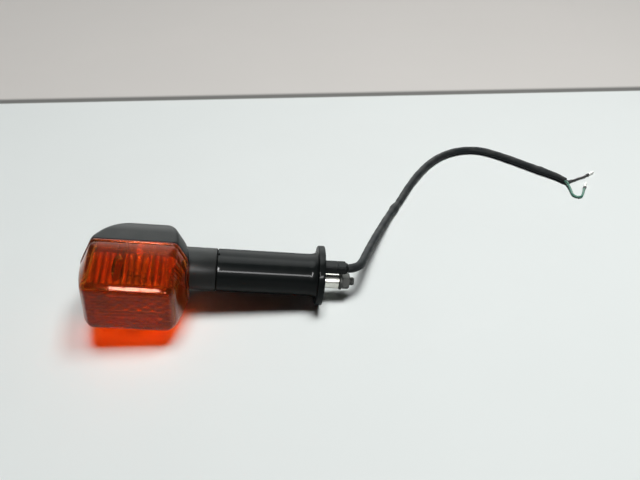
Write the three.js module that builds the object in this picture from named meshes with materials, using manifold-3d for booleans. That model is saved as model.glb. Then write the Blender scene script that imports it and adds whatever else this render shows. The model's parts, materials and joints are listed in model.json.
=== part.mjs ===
/**
 * Motorcycle turn signal indicator: an amber lens on a black housing, a rubber stalk with a flange,
 * its through bolt with collar, washer and nut, the bulb and socket inside, and the lead.
 *
 * Millimetres, +Z up. The lamp lies on a table at Z = 0, as it rests when it is off the machine: on
 * the lower corner of its head and on the rim of its flange. The lens faces -Y, and the mounting
 * end points along +X and slightly down. The origin is under the middle of the lamp.
 */
import * as THREE from 'three';
import { mergeVertices } from 'three/addons/utils/BufferGeometryUtils.js';
import Module from 'manifold-3d';

const wasm = await Module();
wasm.setup();

/* ---------- driving dimensions ---------- */

const SEAT_GAP = 0.3; // between two pieces that touch
const CORNER_STEPS = 3; // straight steps round one corner of the head
const FLAT_STEPS = 4; // steps along one flat side of it
const ROUND_SEGMENTS = 32; // sides of a large round piece
const SMALL_SEGMENTS = 20; // sides of a small round piece

// Stalk: it runs along the lamp's own X axis, and its flange ends at X = 0.
const STALK_DIAMETER = 29;
const STALK_LENGTH = 72;
const STALK_EDGE = 0.8; // rounded edge at the seam
const FLANGE_DIAMETER = 41;
const FLANGE_THICKNESS = 4.5;
const FLARE_LENGTH = 6.3; // the stalk widens into the flange
const FLARE_RISE = 1.6;
const NOTCH_WIDTH = 3; // index mark in the top of the seam
const NOTCH_DEPTH = 1.6;

// Head: W by H across its parting plane, with long cut corners.
const HEAD_WIDTH = 68.6;
const HEAD_HEIGHT = 65;
const CORNER_CUT_X = 7; // the inboard corners' cuts
const CORNER_CUT_Z = 14;
const OUTBOARD_CUT_X = 9; // the outboard corners' cuts at the parting plane
const OUTBOARD_CUT_Z = 21;
const CORNER_ROUND = 3.2;
const PARTING_DEPTH = 10.5; // the parting plane stands this far in front of the stalk's axis
const HOUSING_DEPTH = 18; // behind the stalk's axis
const HOUSING_WALL = 2.4;
const BACK_ROUND = 20; // radius of the upper and lower back edges
const OUTBOARD_ROUND = 15; // how far the outboard end draws in at the back
const INBOARD_DRAW = 10; // and the inboard side
const BACK_CUT_X = 26; // the outboard corners' cuts at the back
const BACK_CUT_Z = 26;
const BACK_CUT_SPAN = [0, 0.9]; // shares of the depth over which those cuts grow
const OUTBOARD_CUT_LIMIT = 0.8; // a cut takes at most this share of half the height
const INBOARD_CUT_LIMIT = 0.7;
const HOUSING_STEPS = 8; // rings along the housing's depth
const LEDGE_WIDTH = 2.6;
const LEDGE_DEPTH = 6; // behind the parting plane

// Neck: from the head's inboard side to the seam.
const NECK_LENGTH = 18;
const NECK_FILLET = 3; // where the neck meets the head
const NECK_FILLET_RUN = 5; // its length along the neck
const NECK_ROOT = 12; // how far the neck's root reaches into the head's side
const FILLET_STEPS = 4;
const SPIGOT_DIAMETER = 23;
const SPIGOT_LENGTH = 12;
const SPIGOT_CLEARANCE = 0.3;

// Lens
const LENS_DEPTH = 31; // from the parting plane to the front face
const LENS_WALL = 2;
const LENS_SIDE_GAP = 0.4; // between the lens and the neck beside it
const SKIRT_DEPTH = 5.2;
const BEAD_DEPTH = 1.6;
const BEAD_STAND = 0.5; // the rim bead stands proud of the skirt
const FRONT_WIDTH = 58;
const FRONT_HEIGHT = 41;
const FRONT_CUT = 4;
const FRONT_EDGE = 3.4; // rounded edge round the front face
const FRONT_EDGE_DEPTH = 4.5;
const TONGUE_DEPTH = 2.6; // reaches into the housing
const TONGUE_WALL = 1.6;
const TONGUE_CLEARANCE = 0.3;
const GASKET_THICKNESS = 1.5;
const GASKET_WIDTH = 2;

// Lens screws: one high and one low, driven from the back.
const SCREW_EDGE = 9.8; // from the head's upper and lower sides
const UPPER_SCREW_OUT = 7; // outboard of the head's middle
const LOWER_SCREW_EDGE = 13.5; // from the head's inboard side
const SCREW_DIAMETER = 4;
const SCREW_CLEARANCE = 0.2;
const SCREW_HEAD_DIAMETER = 7.4;
const SCREW_HEAD_HEIGHT = 2.4;
const SCREW_SLOT = 1;
const SCREW_ENGAGEMENT = 9.5;
const SCREW_SEAT = 10; // where the head sits, behind the stalk's axis
const SCREW_POST_DIAMETER = 7.6;
const LENS_BOSS_DIAMETER = 7;
const LENS_BOSS_LENGTH = 27;

// Reflector
const REFLECTOR_WALL = 1.1;
const REFLECTOR_SIDE_GAP = 2; // between the dish and the housing's ledge
const REFLECTOR_RIM = 2.9;
const REFLECTOR_BACK = 2; // behind the stalk's axis
const REFLECTOR_HOLE_CLEARANCE = 0.7;

// Bulb and socket, on an axis square to the lens
const BULB_CAP_DIAMETER = 15;
const BULB_CAP_LENGTH = 13;
const BULB_CAP_WALL = 0.45;
const BULB_CAP_END = 2; // the cap's back end, behind the stalk's axis
const BAYONET_PIN_DIAMETER = 2;
const BAYONET_PIN_REACH = 1.3;
const BAYONET_PIN_INSET = 5; // from the cap's back end
const BAYONET_TURN_DEG = 22;
const BAYONET_SLOT_CLEARANCE = 0.35;
const GLASS_DIAMETER = 18;
const GLASS_WALL = 0.7;
const GLASS_NECK_CLEARANCE = 0.75; // between the glass's neck and the cap round it
const GLASS_REACH = 19; // in front of the cap
const GLASS_TUCK = 5; // inside the cap
const FILAMENT_WIRE = 0.6;
const FILAMENT_SPREAD = 5;
const FILAMENT_REACH = 9;
const CONTACT_DIAMETER = 4.6;
const CONTACT_HEIGHT = 1.2;
const SOCKET_WALL = 0.8;
const SOCKET_CLEARANCE = 0.4;
const SOCKET_END = 14; // the shell's back end
const SOCKET_LENGTH = 18;
const SOCKET_BOSS_WALL = 2;
const INSULATOR_THICKNESS = 1.5;
const INSULATOR_INSET = 1; // from the shell's back end
const PLUNGER_DIAMETER = 3;
const PLUNGER_HEAD_DIAMETER = 6.4;
const PLUNGER_HEAD_HEIGHT = 1;
const PLUNGER_TIP = 1.4;
const PLUNGER_CLEARANCE = 0.3;
const PLUNGER_TRAVEL = 1.2;
const SPRING_WIRE = 0.5;
const SPRING_TURNS = 3;

// Through bolt and the pieces on it, below the stalk's axis
const BOLT_DROP = 4;
const BOLT_DIAMETER = 6;
const BOLT_CLEARANCE = 0.25;
const BOLT_HEAD_FLATS = 10;
const BOLT_HEAD_HEIGHT = 4;
const BOLT_HEAD_RECESS = 2.2; // its bearing face lies this far inside the neck
const BOLT_END = 3.5; // past the nut
const SLEEVE_DIAMETER = 10;
const SLEEVE_CLEARANCE = 0.3;
const COLLAR_DIAMETER = 11.4;
const COLLAR_LENGTH = 11.6;
const WASHER_DIAMETER = 12.6;
const WASHER_THICKNESS = 1.6;
const NUT_FLATS = 10;
const NUT_THICKNESS = 5;

// Lead's way out, above the stalk's axis
const LEAD_RISE = 8;
const LEAD_DIAMETER = 6;
const LEAD_CLEARANCE = 0.3;
const BLOCK_WALL = 0.6; // of the block and the grommet, round the lead's way
const BLOCK_CORNER = 1.5; // rounding of its two upper corners
const BLOCK_FOOT = 0.5; // its foot's width and its lower chamfers, as shares of half its width
const BLOCK_LENGTH = 9.3;
const GROMMET_LENGTH = 4.8;
const GROMMET_CHAMFER = 1.4;
const GROMMET_NOSE_LENGTH = 1.6;
const NOSE_STRAIGHT = 0.4; // share of the nose before it tapers
const GROMMET_NOSE_WALL = 0.6;
const LEAD_END_TIP = 0.1; // the first bend tips the free lead's end face by this share of its radius
const LEAD_SIDES = 10;

// Wires and terminals
const WIRE_DIAMETER = 1.9;
const WIRE_SIDES = 8;
const WIRE_SPREAD = 1.2; // each wire's centre lies this far from the lead's
const INNER_WIRE_SET = [6, 8, 8.5]; // how far back the wires inside the head run at each bend
const INNER_WIRE_DROP = 1; // below the lead, where they pass the socket's boss
const SLEEVE_TUBE_DIAMETER = 2.6;
const SLEEVE_TUBE_LENGTH = 2.4;
const TERMINAL_DIAMETER = 2.3;
const TERMINAL_LENGTH = 6.5;
const TERMINAL_TIP = 1.2;
const TERMINAL_SIDES = 12;

/**
 * The lead's route over the table: along X and Y from the grommet's mouth, and the share of the
 * mouth's height above the table that is left at that point.
 */
const LEAD_ROUTE = [
  [4, 0.7, 0.99],
  [7.5, 2.7, 0.97],
  [10, 6, 0.93],
  [12, 10.5, 0.88],
  [15.6, 20.5, 0.76],
  [20.3, 33.5, 0.6],
  [31.5, 61.5, 0.28],
  [42.5, 85.5, 0.07],
  [52, 102.5, 0],
  [61.5, 120, 0],
  [72, 137, 0],
  [84, 152.5, 0],
  [96, 163.5, 0],
  [110, 171, 0],
  [124, 173.5, 0],
  [135, 171.8, 0],
  [144.5, 167, 0],
  [156, 159, 0],
  [167.5, 150, 0],
  [178, 141.5, 0],
  [186, 135.4, 0],
  [192.6, 130, 0],
  [197.8, 124, 0],
];

/** Each wire's route over the table, along X and Y from the lead's end. */
const BLACK_WIRE_ROUTE = [
  [5, 0.6],
  [8.8, 2.4],
  [13, 4.4],
  [17.5, 6.2],
  [22, 8.8],
];
const GREEN_WIRE_ROUTE = [
  [1.4, -6],
  [1.5, -11.5],
  [1.3, -16.5],
  [2.06, -18.9],
  [4.06, -20.45],
  [6.6, -20.55],
  [8.47, -19.45],
  [9.8, -17.4],
  [13.8, -9.8],
];

/* ---------- derived places, in the lamp's own frame ---------- */

const SEAM_X = -STALK_LENGTH;
const HEAD_INBOARD_X = SEAM_X - NECK_LENGTH;
const HEAD_X = HEAD_INBOARD_X - HEAD_WIDTH / 2;
const PARTING_Y = -PARTING_DEPTH;
const LEDGE_Y = PARTING_Y + LEDGE_DEPTH;
const LENS_BACK_Y = PARTING_Y - SEAT_GAP;
const LENS_FRONT_Y = PARTING_Y - LENS_DEPTH;
const CAVITY_BACK_Y = HOUSING_DEPTH - HOUSING_WALL;
const SPIGOT_END_X = SEAM_X + SPIGOT_LENGTH;
const BOLT_SEAT_X = HEAD_INBOARD_X + BOLT_HEAD_RECESS;
const BOLT_HEAD_X = BOLT_SEAT_X - SEAT_GAP;
const COLLAR_START_X = SEAT_GAP;
const COLLAR_END_X = COLLAR_START_X + COLLAR_LENGTH;
const WASHER_START_X = COLLAR_END_X + SEAT_GAP;
const WASHER_END_X = WASHER_START_X + WASHER_THICKNESS;
const NUT_START_X = WASHER_END_X + SEAT_GAP;
const NUT_END_X = NUT_START_X + NUT_THICKNESS;
const GROMMET_START_X = SEAT_GAP + BLOCK_LENGTH + SEAT_GAP;
const LEAD_WAY_RADIUS = LEAD_DIAMETER / 2 + LEAD_CLEARANCE;
const BLOCK_WIDTH = 2 * (LEAD_WAY_RADIUS + BLOCK_WALL);
const NOSE_START_X = GROMMET_START_X + GROMMET_LENGTH;
const MOUTH_X = NOSE_START_X + GROMMET_NOSE_LENGTH;
const BULB_CAP_FRONT_Y = BULB_CAP_END - BULB_CAP_LENGTH;
const SOCKET_FRONT_Y = SOCKET_END - SOCKET_LENGTH;
const SOCKET_INNER_RADIUS = BULB_CAP_DIAMETER / 2 + SOCKET_CLEARANCE;
const SOCKET_OUTER_RADIUS = SOCKET_INNER_RADIUS + SOCKET_WALL;
const INSULATOR_BACK_Y = SOCKET_END - INSULATOR_INSET;
const INSULATOR_FRONT_Y = INSULATOR_BACK_Y - INSULATOR_THICKNESS;
const CONTACT_BACK_Y = BULB_CAP_END + SEAT_GAP + CONTACT_HEIGHT;
const PLUNGER_FRONT_Y = CONTACT_BACK_Y + SEAT_GAP;
const PLUNGER_SHOULDER_Y = PLUNGER_FRONT_Y + PLUNGER_TIP + PLUNGER_HEAD_HEIGHT;
const INNER_LEAD_END_X = HEAD_INBOARD_X - HOUSING_WALL;

/* ---------- finishes ---------- */

/** A finish of its own for each material of the lamp. */
function finish(color, roughness, metalness = 0, opacity = 1) {
  return new THREE.MeshStandardMaterial({
    color, roughness, metalness, opacity, transparent: opacity < 1,
  });
}

const FINISH = {
  amber: finish(0xc24a12, 0.12, 0, 0.6),
  housing: finish(0x1b1b1b, 0.35),
  rubber: finish(0x141414, 0.3),
  moulding: finish(0x202021, 0.5),
  seal: finish(0x0e0e0e, 0.8),
  mirror: finish(0xd8d8d8, 0.15, 1),
  glass: finish(0xe8eef0, 0.05, 0, 0.35),
  brass: finish(0xb08a3c, 0.3, 1),
  tungsten: finish(0x6a6a6a, 0.4, 1),
  zinc: finish(0xb8b8b0, 0.3, 1),
  darkSteel: finish(0x3a3c3d, 0.45, 1),
  sheath: finish(0x3b4043, 0.6),
  blackWire: finish(0x161616, 0.5),
  greenWire: finish(0x2f6f54, 0.5),
  tin: finish(0xb9bcb4, 0.4, 1),
};

/* ---------- solids ---------- */

/** The closed solid of a geometry, for joining and cutting. */
function toSolid(geometry) {
  const bare = geometry.clone();
  bare.deleteAttribute('normal');
  bare.deleteAttribute('uv');
  const merged = mergeVertices(bare, 1e-4);
  const vertProperties = new Float32Array(merged.attributes.position.array);
  const triVerts = new Uint32Array(merged.index.array);
  return new wasm.Manifold(new wasm.Mesh({ numProp: 3, vertProperties, triVerts }));
}

/** A geometry back from a solid. */
function toGeometry(solid) {
  const mesh = solid.getMesh();
  const geometry = new THREE.BufferGeometry();
  geometry.setAttribute('position', new THREE.BufferAttribute(new Float32Array(mesh.vertProperties), 3));
  geometry.setIndex(new THREE.BufferAttribute(new Uint32Array(mesh.triVerts), 1));
  geometry.computeVertexNormals();
  return geometry;
}

/** base with every added geometry joined to it and every cut taken out. */
function shaped(base, added, cuts) {
  const joined = added.reduce((solid, geometry) => solid.add(toSolid(geometry)), toSolid(base));
  return toGeometry(cuts.reduce((solid, geometry) => solid.subtract(toSolid(geometry)), joined));
}

/** Turns a lathed or round shape from its own Y axis onto the lamp's X axis. */
function alongX(geometry, x = 0, y = 0, z = 0) {
  return geometry.rotateZ(-Math.PI / 2).translate(x, y, z);
}

/** A round bar along X. */
function barX(radius, fromX, toX, y, z, segments = SMALL_SEGMENTS) {
  const bar = new THREE.CylinderGeometry(radius, radius, toX - fromX, segments);
  return alongX(bar, (fromX + toX) / 2, y, z);
}

/** A round bar along Y. */
function barY(radius, fromY, toY, x, z, segments = SMALL_SEGMENTS) {
  const bar = new THREE.CylinderGeometry(radius, radius, toY - fromY, segments);
  return bar.translate(x, (fromY + toY) / 2, z);
}

/**
 * A shape lathed round the Y axis, from [radius, distance along the axis] points in either order:
 * the profile is turned round where its faces would point inwards.
 */
function lathe(profile, segments = ROUND_SEGMENTS) {
  const points = profile.map(([r, a]) => new THREE.Vector2(r, a));
  const outwards = THREE.ShapeUtils.area(points) > 0;
  return new THREE.LatheGeometry(outwards ? points : points.reverse(), segments);
}

/** A tube lathed round its axis, closed at both ends. */
function tubeProfile(inner, outer, from, to) {
  return [[inner, from], [outer, from], [outer, to], [inner, to], [inner, from]];
}

/** A flat shape in the Y-Z plane, given depth along X. */
function extrudeX(shape, fromX, toX) {
  const solid = new THREE.ExtrudeGeometry(shape, {
    depth: toX - fromX, bevelEnabled: false, curveSegments: SMALL_SEGMENTS / 2,
  });
  const turn = new THREE.Matrix4().makeBasis(
    new THREE.Vector3(0, 1, 0), new THREE.Vector3(0, 0, 1), new THREE.Vector3(1, 0, 0),
  );
  return solid.applyMatrix4(turn).translate(fromX, 0, 0);
}

/** A hexagon of the given width across its flats. */
function hexagon(flats) {
  const corner = flats / Math.sqrt(3);
  const points = Array.from({ length: 6 }, (_, side) => {
    const angle = (side * Math.PI) / 3;
    return new THREE.Vector2(corner * Math.cos(angle), corner * Math.sin(angle));
  });
  return new THREE.Shape(points);
}

/** A cord along a smooth curve through its points. */
function cord(points, diameter, sides, steps) {
  const section = new THREE.Shape(Array.from({ length: sides }, (_, side) => {
    const angle = (side * 2 * Math.PI) / sides;
    return new THREE.Vector2(Math.cos(angle), Math.sin(angle)).multiplyScalar(diameter / 2);
  }));
  const extrudePath = new THREE.CatmullRomCurve3(points, false, 'centripetal');
  return new THREE.ExtrudeGeometry(section, { steps, extrudePath, bevelEnabled: false });
}

/**
 * A solid skinned over rings of points, all with the same number of points. Open rings are closed
 * by a flat cap at each end; a looped stack joins its last ring to its first.
 */
function loft(rings, looped = false) {
  const count = rings[0].length;
  const points = rings.flat();
  const index = [];
  const spans = looped ? rings.length : rings.length - 1;
  for (let ring = 0; ring < spans; ring += 1) {
    const next = (ring + 1) % rings.length;
    for (let side = 0; side < count; side += 1) {
      const a = ring * count + side;
      const b = ring * count + ((side + 1) % count);
      const c = next * count + side;
      const d = next * count + ((side + 1) % count);
      index.push(a, c, b, b, c, d);
    }
  }
  if (!looped) {
    [0, rings.length - 1].forEach((ring) => {
      const middle = new THREE.Vector3();
      rings[ring].forEach((point) => middle.addScaledVector(point, 1 / count));
      points.push(middle);
      for (let side = 0; side < count; side += 1) {
        const a = ring * count + side;
        const b = ring * count + ((side + 1) % count);
        index.push(...(ring === 0 ? [a, b, points.length - 1] : [b, a, points.length - 1]));
      }
    });
  }
  const geometry = new THREE.BufferGeometry().setFromPoints(points);
  geometry.setIndex(enclosed(points, index) < 0 ? index.slice().reverse() : index);
  geometry.computeVertexNormals();
  return geometry;
}

/** Six times the volume that indexed triangles enclose, negative where they face inwards. */
function enclosed(points, index) {
  let sum = 0;
  for (let at = 0; at < index.length; at += 3) {
    const [a, b, c] = [points[index[at]], points[index[at + 1]], points[index[at + 2]]];
    sum += a.dot(b.clone().cross(c));
  }
  return sum;
}

/* ---------- the head's outline ---------- */

/**
 * One ring of the head at a depth: an eight-sided outline with rounded corners.
 * left, right and half are its reach from the head's middle; the cuts are [along X, along Z].
 */
function ringAt(y, { left, right, half, leftCut, rightCut, round }, inset = 0) {
  const side = (reach, [cutX, cutZ], sign) => {
    const length = Math.hypot(cutX, cutZ);
    const [a, b] = [cutZ / length, cutX / length];
    const far = a * reach + b * (half - cutZ) - inset;
    const [x, z] = [reach - inset, half - inset];
    const upright = (far - a * x) / b;
    const level = (far - b * z) / a;
    return [[sign * x, upright], [sign * level, z]];
  };
  const [rightLow, rightHigh] = side(right, rightCut, 1);
  const [leftLow, leftHigh] = side(left, leftCut, -1);
  const upper = [rightLow, rightHigh, leftHigh, leftLow];
  const corners = [...upper, ...upper.map(([x, z]) => [x, -z]).reverse()];
  const bends = [];
  corners.forEach(([x, z], at) => {
    const corner = new THREE.Vector2(x, z);
    const before = new THREE.Vector2(...corners[(at + 7) % 8]).sub(corner);
    const after = new THREE.Vector2(...corners[(at + 1) % 8]).sub(corner);
    const back = Math.min(round, before.length() / 2.2);
    const on = Math.min(round, after.length() / 2.2);
    const bend = new THREE.QuadraticBezierCurve(
      before.setLength(back).add(corner), corner, after.setLength(on).add(corner),
    );
    bends.push(bend);
  });
  return bends.flatMap((bend, at) => {
    const flat = new THREE.LineCurve(bend.v2, bends[(at + 1) % bends.length].v0);
    const run = [...bend.getPoints(CORNER_STEPS), ...flat.getPoints(FLAT_STEPS).slice(1, -1)];
    return run.map((point) => new THREE.Vector3(HEAD_X + point.x, y, point.y));
  });
}

const PARTING_OUTLINE = {
  left: HEAD_WIDTH / 2,
  right: HEAD_WIDTH / 2,
  half: HEAD_HEIGHT / 2,
  leftCut: [OUTBOARD_CUT_X, OUTBOARD_CUT_Z],
  rightCut: [CORNER_CUT_X, CORNER_CUT_Z],
  round: CORNER_ROUND,
};

/** How far a quarter round of the given radius has drawn in, a distance past its start. */
function drawIn(radius, past) {
  const run = Math.min(Math.max(past, 0), radius);
  return radius - Math.sqrt(radius * radius - run * run);
}

/** The housing's outline at a depth behind the parting plane. */
function housingOutline(y) {
  const share = (y - PARTING_Y) / (HOUSING_DEPTH - PARTING_Y);
  const half = HEAD_HEIGHT / 2 - drawIn(BACK_ROUND, y - HOUSING_DEPTH + BACK_ROUND);
  const mix = THREE.MathUtils.smoothstep(share, ...BACK_CUT_SPAN);
  return {
    left: HEAD_WIDTH / 2 - drawIn(OUTBOARD_ROUND, y - HOUSING_DEPTH + OUTBOARD_ROUND),
    right: HEAD_WIDTH / 2 - INBOARD_DRAW * share * share,
    half,
    leftCut: [
      THREE.MathUtils.lerp(OUTBOARD_CUT_X, BACK_CUT_X, mix),
      Math.min(THREE.MathUtils.lerp(OUTBOARD_CUT_Z, BACK_CUT_Z, mix), OUTBOARD_CUT_LIMIT * half),
    ],
    rightCut: [CORNER_CUT_X, Math.min(CORNER_CUT_Z, INBOARD_CUT_LIMIT * half)],
    round: CORNER_ROUND,
  };
}

/** Rings of the housing from one depth to another, closer together towards the back. */
function housingRings(fromY, toY, inset) {
  return Array.from({ length: HOUSING_STEPS + 1 }, (_, step) => {
    const y = fromY + (toY - fromY) * Math.sin((step / HOUSING_STEPS) * (Math.PI / 2));
    return ringAt(y, housingOutline(y), inset);
  });
}

/** The lens's outline at a share of the way from its skirt to its front face. */
function bevelOutline(share) {
  const mix = (a, b) => THREE.MathUtils.lerp(a, b, share);
  return {
    left: mix(HEAD_WIDTH, FRONT_WIDTH) / 2,
    right: mix(HEAD_WIDTH, FRONT_WIDTH) / 2,
    half: mix(HEAD_HEIGHT, FRONT_HEIGHT) / 2,
    leftCut: [mix(OUTBOARD_CUT_X, FRONT_CUT), mix(OUTBOARD_CUT_Z, FRONT_CUT)],
    rightCut: [mix(CORNER_CUT_X, FRONT_CUT), mix(CORNER_CUT_Z, FRONT_CUT)],
    round: CORNER_ROUND,
  };
}

/** The two lens screws' places, [x, z], upper and lower. */
const SCREWS = [
  [HEAD_X - UPPER_SCREW_OUT, HEAD_HEIGHT / 2 - SCREW_EDGE],
  [HEAD_INBOARD_X - LOWER_SCREW_EDGE, SCREW_EDGE - HEAD_HEIGHT / 2],
];

/* ---------- head ---------- */

/** The housing: a shell with its neck and spigot, screw posts, socket boss and ways through. */
function housing() {
  const neckRadius = STALK_DIAMETER / 2;
  const filletStart = HEAD_INBOARD_X - NECK_FILLET_RUN - STALK_EDGE * 2;
  const fillet = Array.from({ length: FILLET_STEPS + 1 }, (_, step) => {
    const turn = (step / FILLET_STEPS) * (Math.PI / 2);
    return [
      neckRadius + NECK_FILLET * (1 - Math.sin(turn)),
      filletStart + NECK_FILLET_RUN * (1 - Math.cos(turn)),
    ];
  });
  const neck = alongX(lathe([
    [0, HEAD_INBOARD_X - NECK_ROOT],
    [neckRadius + NECK_FILLET, HEAD_INBOARD_X - NECK_ROOT],
    ...fillet,
    [neckRadius, SEAM_X - SEAT_GAP - STALK_EDGE],
    [neckRadius - STALK_EDGE, SEAM_X - SEAT_GAP],
    [SPIGOT_DIAMETER / 2, SEAM_X - SEAT_GAP],
    [SPIGOT_DIAMETER / 2, SPIGOT_END_X],
    [0, SPIGOT_END_X],
  ]));
  const shell = loft(housingRings(PARTING_Y, HOUSING_DEPTH, 0));
  const ledgeInset = HOUSING_WALL + LEDGE_WIDTH;
  const mouth = loft([
    ringAt(PARTING_Y - 1, PARTING_OUTLINE, HOUSING_WALL),
    ringAt(LEDGE_Y, PARTING_OUTLINE, HOUSING_WALL),
  ]);
  const cavity = loft([
    ringAt(LEDGE_Y - 1, PARTING_OUTLINE, ledgeInset),
    ...housingRings(LEDGE_Y, CAVITY_BACK_Y, ledgeInset).slice(0, -1),
    ringAt(CAVITY_BACK_Y, housingOutline(CAVITY_BACK_Y), ledgeInset),
  ]);
  const posts = SCREWS.map(([x, z]) => {
    const post = barY(SCREW_POST_DIAMETER / 2, REFLECTOR_BACK + SEAT_GAP, CAVITY_BACK_Y, x, z);
    return toSolid(post).intersect(toSolid(shell));
  });
  const bossRadius = SOCKET_OUTER_RADIUS + SOCKET_BOSS_WALL;
  const bossEnd = HOUSING_DEPTH - HOUSING_WALL / 2;
  const boss = barY(bossRadius, SOCKET_END + SEAT_GAP, bossEnd, HEAD_X, 0, ROUND_SEGMENTS);
  let solid = toSolid(shell).add(toSolid(neck)).subtract(toSolid(mouth)).subtract(toSolid(cavity));
  solid = posts.reduce((whole, post) => whole.add(post), solid.add(toSolid(boss)));
  const seats = SCREWS.map(([x, z]) => (
    barY(SCREW_HEAD_DIAMETER / 2 + SCREW_CLEARANCE * 2, SCREW_SEAT, HOUSING_DEPTH + 1, x, z)));
  const holes = SCREWS.map(([x, z]) => (
    barY(SCREW_DIAMETER / 2 + SCREW_CLEARANCE, LEDGE_Y, HOUSING_DEPTH, x, z)));
  const boltWay = barX(
    BOLT_DIAMETER / 2 + BOLT_CLEARANCE, HEAD_INBOARD_X - ledgeInset * 2, SPIGOT_END_X + 1, 0, -BOLT_DROP,
  );
  const headRoom = BOLT_HEAD_FLATS / Math.sqrt(3) + SEAT_GAP * 2;
  const boltHeadSeat = barX(headRoom, HEAD_X, BOLT_SEAT_X, 0, -BOLT_DROP);
  const leadWay = barX(LEAD_WAY_RADIUS, HEAD_X, SPIGOT_END_X + 1, 0, LEAD_RISE);
  const lensRoom = new THREE.BoxGeometry(HEAD_WIDTH, HEAD_HEIGHT, HEAD_HEIGHT)
    .translate(HEAD_X + LENS_SIDE_GAP, PARTING_Y - HEAD_HEIGHT / 2, 0);
  const ways = [...seats, ...holes, boltWay, boltHeadSeat, leadWay, lensRoom];
  return toGeometry(ways.reduce((whole, way) => whole.subtract(toSolid(way)), solid));
}

/** The lens: rim bead, skirt, bevelled sides and front face, with a tongue and two screw bosses. */
function lens() {
  const skirtFront = PARTING_Y - SKIRT_DEPTH;
  const bevelEnd = LENS_FRONT_Y + FRONT_EDGE_DEPTH;
  const outer = loft([
    ringAt(LENS_BACK_Y, PARTING_OUTLINE),
    ringAt(LENS_BACK_Y - BEAD_DEPTH, PARTING_OUTLINE),
    ringAt(LENS_BACK_Y - BEAD_DEPTH - BEAD_STAND, PARTING_OUTLINE, BEAD_STAND),
    ringAt(skirtFront, PARTING_OUTLINE, BEAD_STAND),
    ringAt(bevelEnd, bevelOutline(1)),
    ...[0.5, 0.87, 1].map((share) => (
      ringAt(bevelEnd - FRONT_EDGE_DEPTH * share, bevelOutline(1), drawIn(1, share) * FRONT_EDGE))),
  ]);
  const inner = loft([
    ringAt(LENS_BACK_Y + 1, PARTING_OUTLINE, HOUSING_WALL + TONGUE_CLEARANCE + TONGUE_WALL),
    ringAt(skirtFront, PARTING_OUTLINE, HOUSING_WALL + TONGUE_CLEARANCE + TONGUE_WALL),
    ringAt(bevelEnd, bevelOutline(1), LENS_WALL),
    ringAt(LENS_FRONT_Y + LENS_WALL, bevelOutline(1), LENS_WALL + FRONT_EDGE * 0.6),
  ]);
  const tongueOut = HOUSING_WALL + TONGUE_CLEARANCE;
  const tongueEnd = LENS_BACK_Y + TONGUE_DEPTH;
  const tongue = loft([
    ringAt(LENS_BACK_Y - BEAD_DEPTH, PARTING_OUTLINE, tongueOut),
    ringAt(tongueEnd, PARTING_OUTLINE, tongueOut),
    ringAt(tongueEnd, PARTING_OUTLINE, tongueOut + TONGUE_WALL),
    ringAt(LENS_BACK_Y - BEAD_DEPTH, PARTING_OUTLINE, tongueOut + TONGUE_WALL),
  ], true);
  const bossBack = LEDGE_Y - REFLECTOR_RIM - SEAT_GAP;
  const bosses = SCREWS.map(([x, z]) => (
    toSolid(barY(LENS_BOSS_DIAMETER / 2, bossBack - LENS_BOSS_LENGTH, bossBack, x, z))
      .intersect(toSolid(outer).add(toSolid(barY(LENS_BOSS_DIAMETER, LENS_BACK_Y, 0, x, z))))));
  const holes = SCREWS.map(([x, z]) => (
    barY(SCREW_DIAMETER / 2 + SCREW_CLEARANCE, bossBack - SCREW_ENGAGEMENT - 1, bossBack + 1, x, z)));
  let solid = toSolid(outer).subtract(toSolid(inner)).add(toSolid(tongue));
  solid = bosses.reduce((whole, boss) => whole.add(boss), solid);
  return toGeometry(holes.reduce((whole, hole) => whole.subtract(toSolid(hole)), solid));
}

/** The seal between the lens's tongue and the reflector's rim. */
function gasket() {
  const outer = HOUSING_WALL + SEAT_GAP;
  const front = LENS_BACK_Y + TONGUE_DEPTH + SEAT_GAP;
  const back = front + GASKET_THICKNESS;
  const inner = outer + GASKET_WIDTH;
  return loft([
    ringAt(front, PARTING_OUTLINE, outer),
    ringAt(back, PARTING_OUTLINE, outer),
    ringAt(back, PARTING_OUTLINE, inner),
    ringAt(front, PARTING_OUTLINE, inner),
  ], true);
}

/** A ring of the head turned into a circle, point for point. */
function circled(ring, radius, y) {
  return ring.map((point) => {
    const out = new THREE.Vector2(point.x - HEAD_X, point.z).setLength(radius);
    return new THREE.Vector3(HEAD_X + out.x, y, out.y);
  });
}

/** Rings of the reflector's dish, from its rim to the hole round the socket. */
function dishRings(offset) {
  const rimInset = HOUSING_WALL + LEDGE_WIDTH + REFLECTOR_SIDE_GAP + offset;
  const rim = ringAt(LEDGE_Y - SEAT_GAP, PARTING_OUTLINE, rimInset);
  const hole = SOCKET_OUTER_RADIUS + REFLECTOR_HOLE_CLEARANCE;
  const steps = 6;
  return Array.from({ length: steps + 1 }, (_, step) => {
    const share = step / steps;
    const y = LEDGE_Y - SEAT_GAP - offset
      + (REFLECTOR_BACK - LEDGE_Y) * Math.sin((share * Math.PI) / 2);
    const round = circled(rim, hole, y);
    return rim.map((point, at) => new THREE.Vector3(point.x, y, point.z).lerp(round[at], share));
  });
}

/** The reflector: a flat rim on the housing's ledge and a bright dish round the socket. */
function reflector() {
  const rimOut = HOUSING_WALL + SEAT_GAP;
  const back = LEDGE_Y - SEAT_GAP;
  const solid = loft([
    ringAt(back, PARTING_OUTLINE, rimOut),
    ...dishRings(0),
    ...dishRings(REFLECTOR_WALL).reverse(),
    ringAt(back - REFLECTOR_WALL, PARTING_OUTLINE, rimOut),
  ], true);
  const holes = SCREWS.map(([x, z]) => (
    barY(SCREW_DIAMETER / 2 + SEAT_GAP * 2, LEDGE_Y - LEDGE_DEPTH, SCREW_SEAT, x, z)));
  return shaped(solid, [], holes);
}

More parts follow.
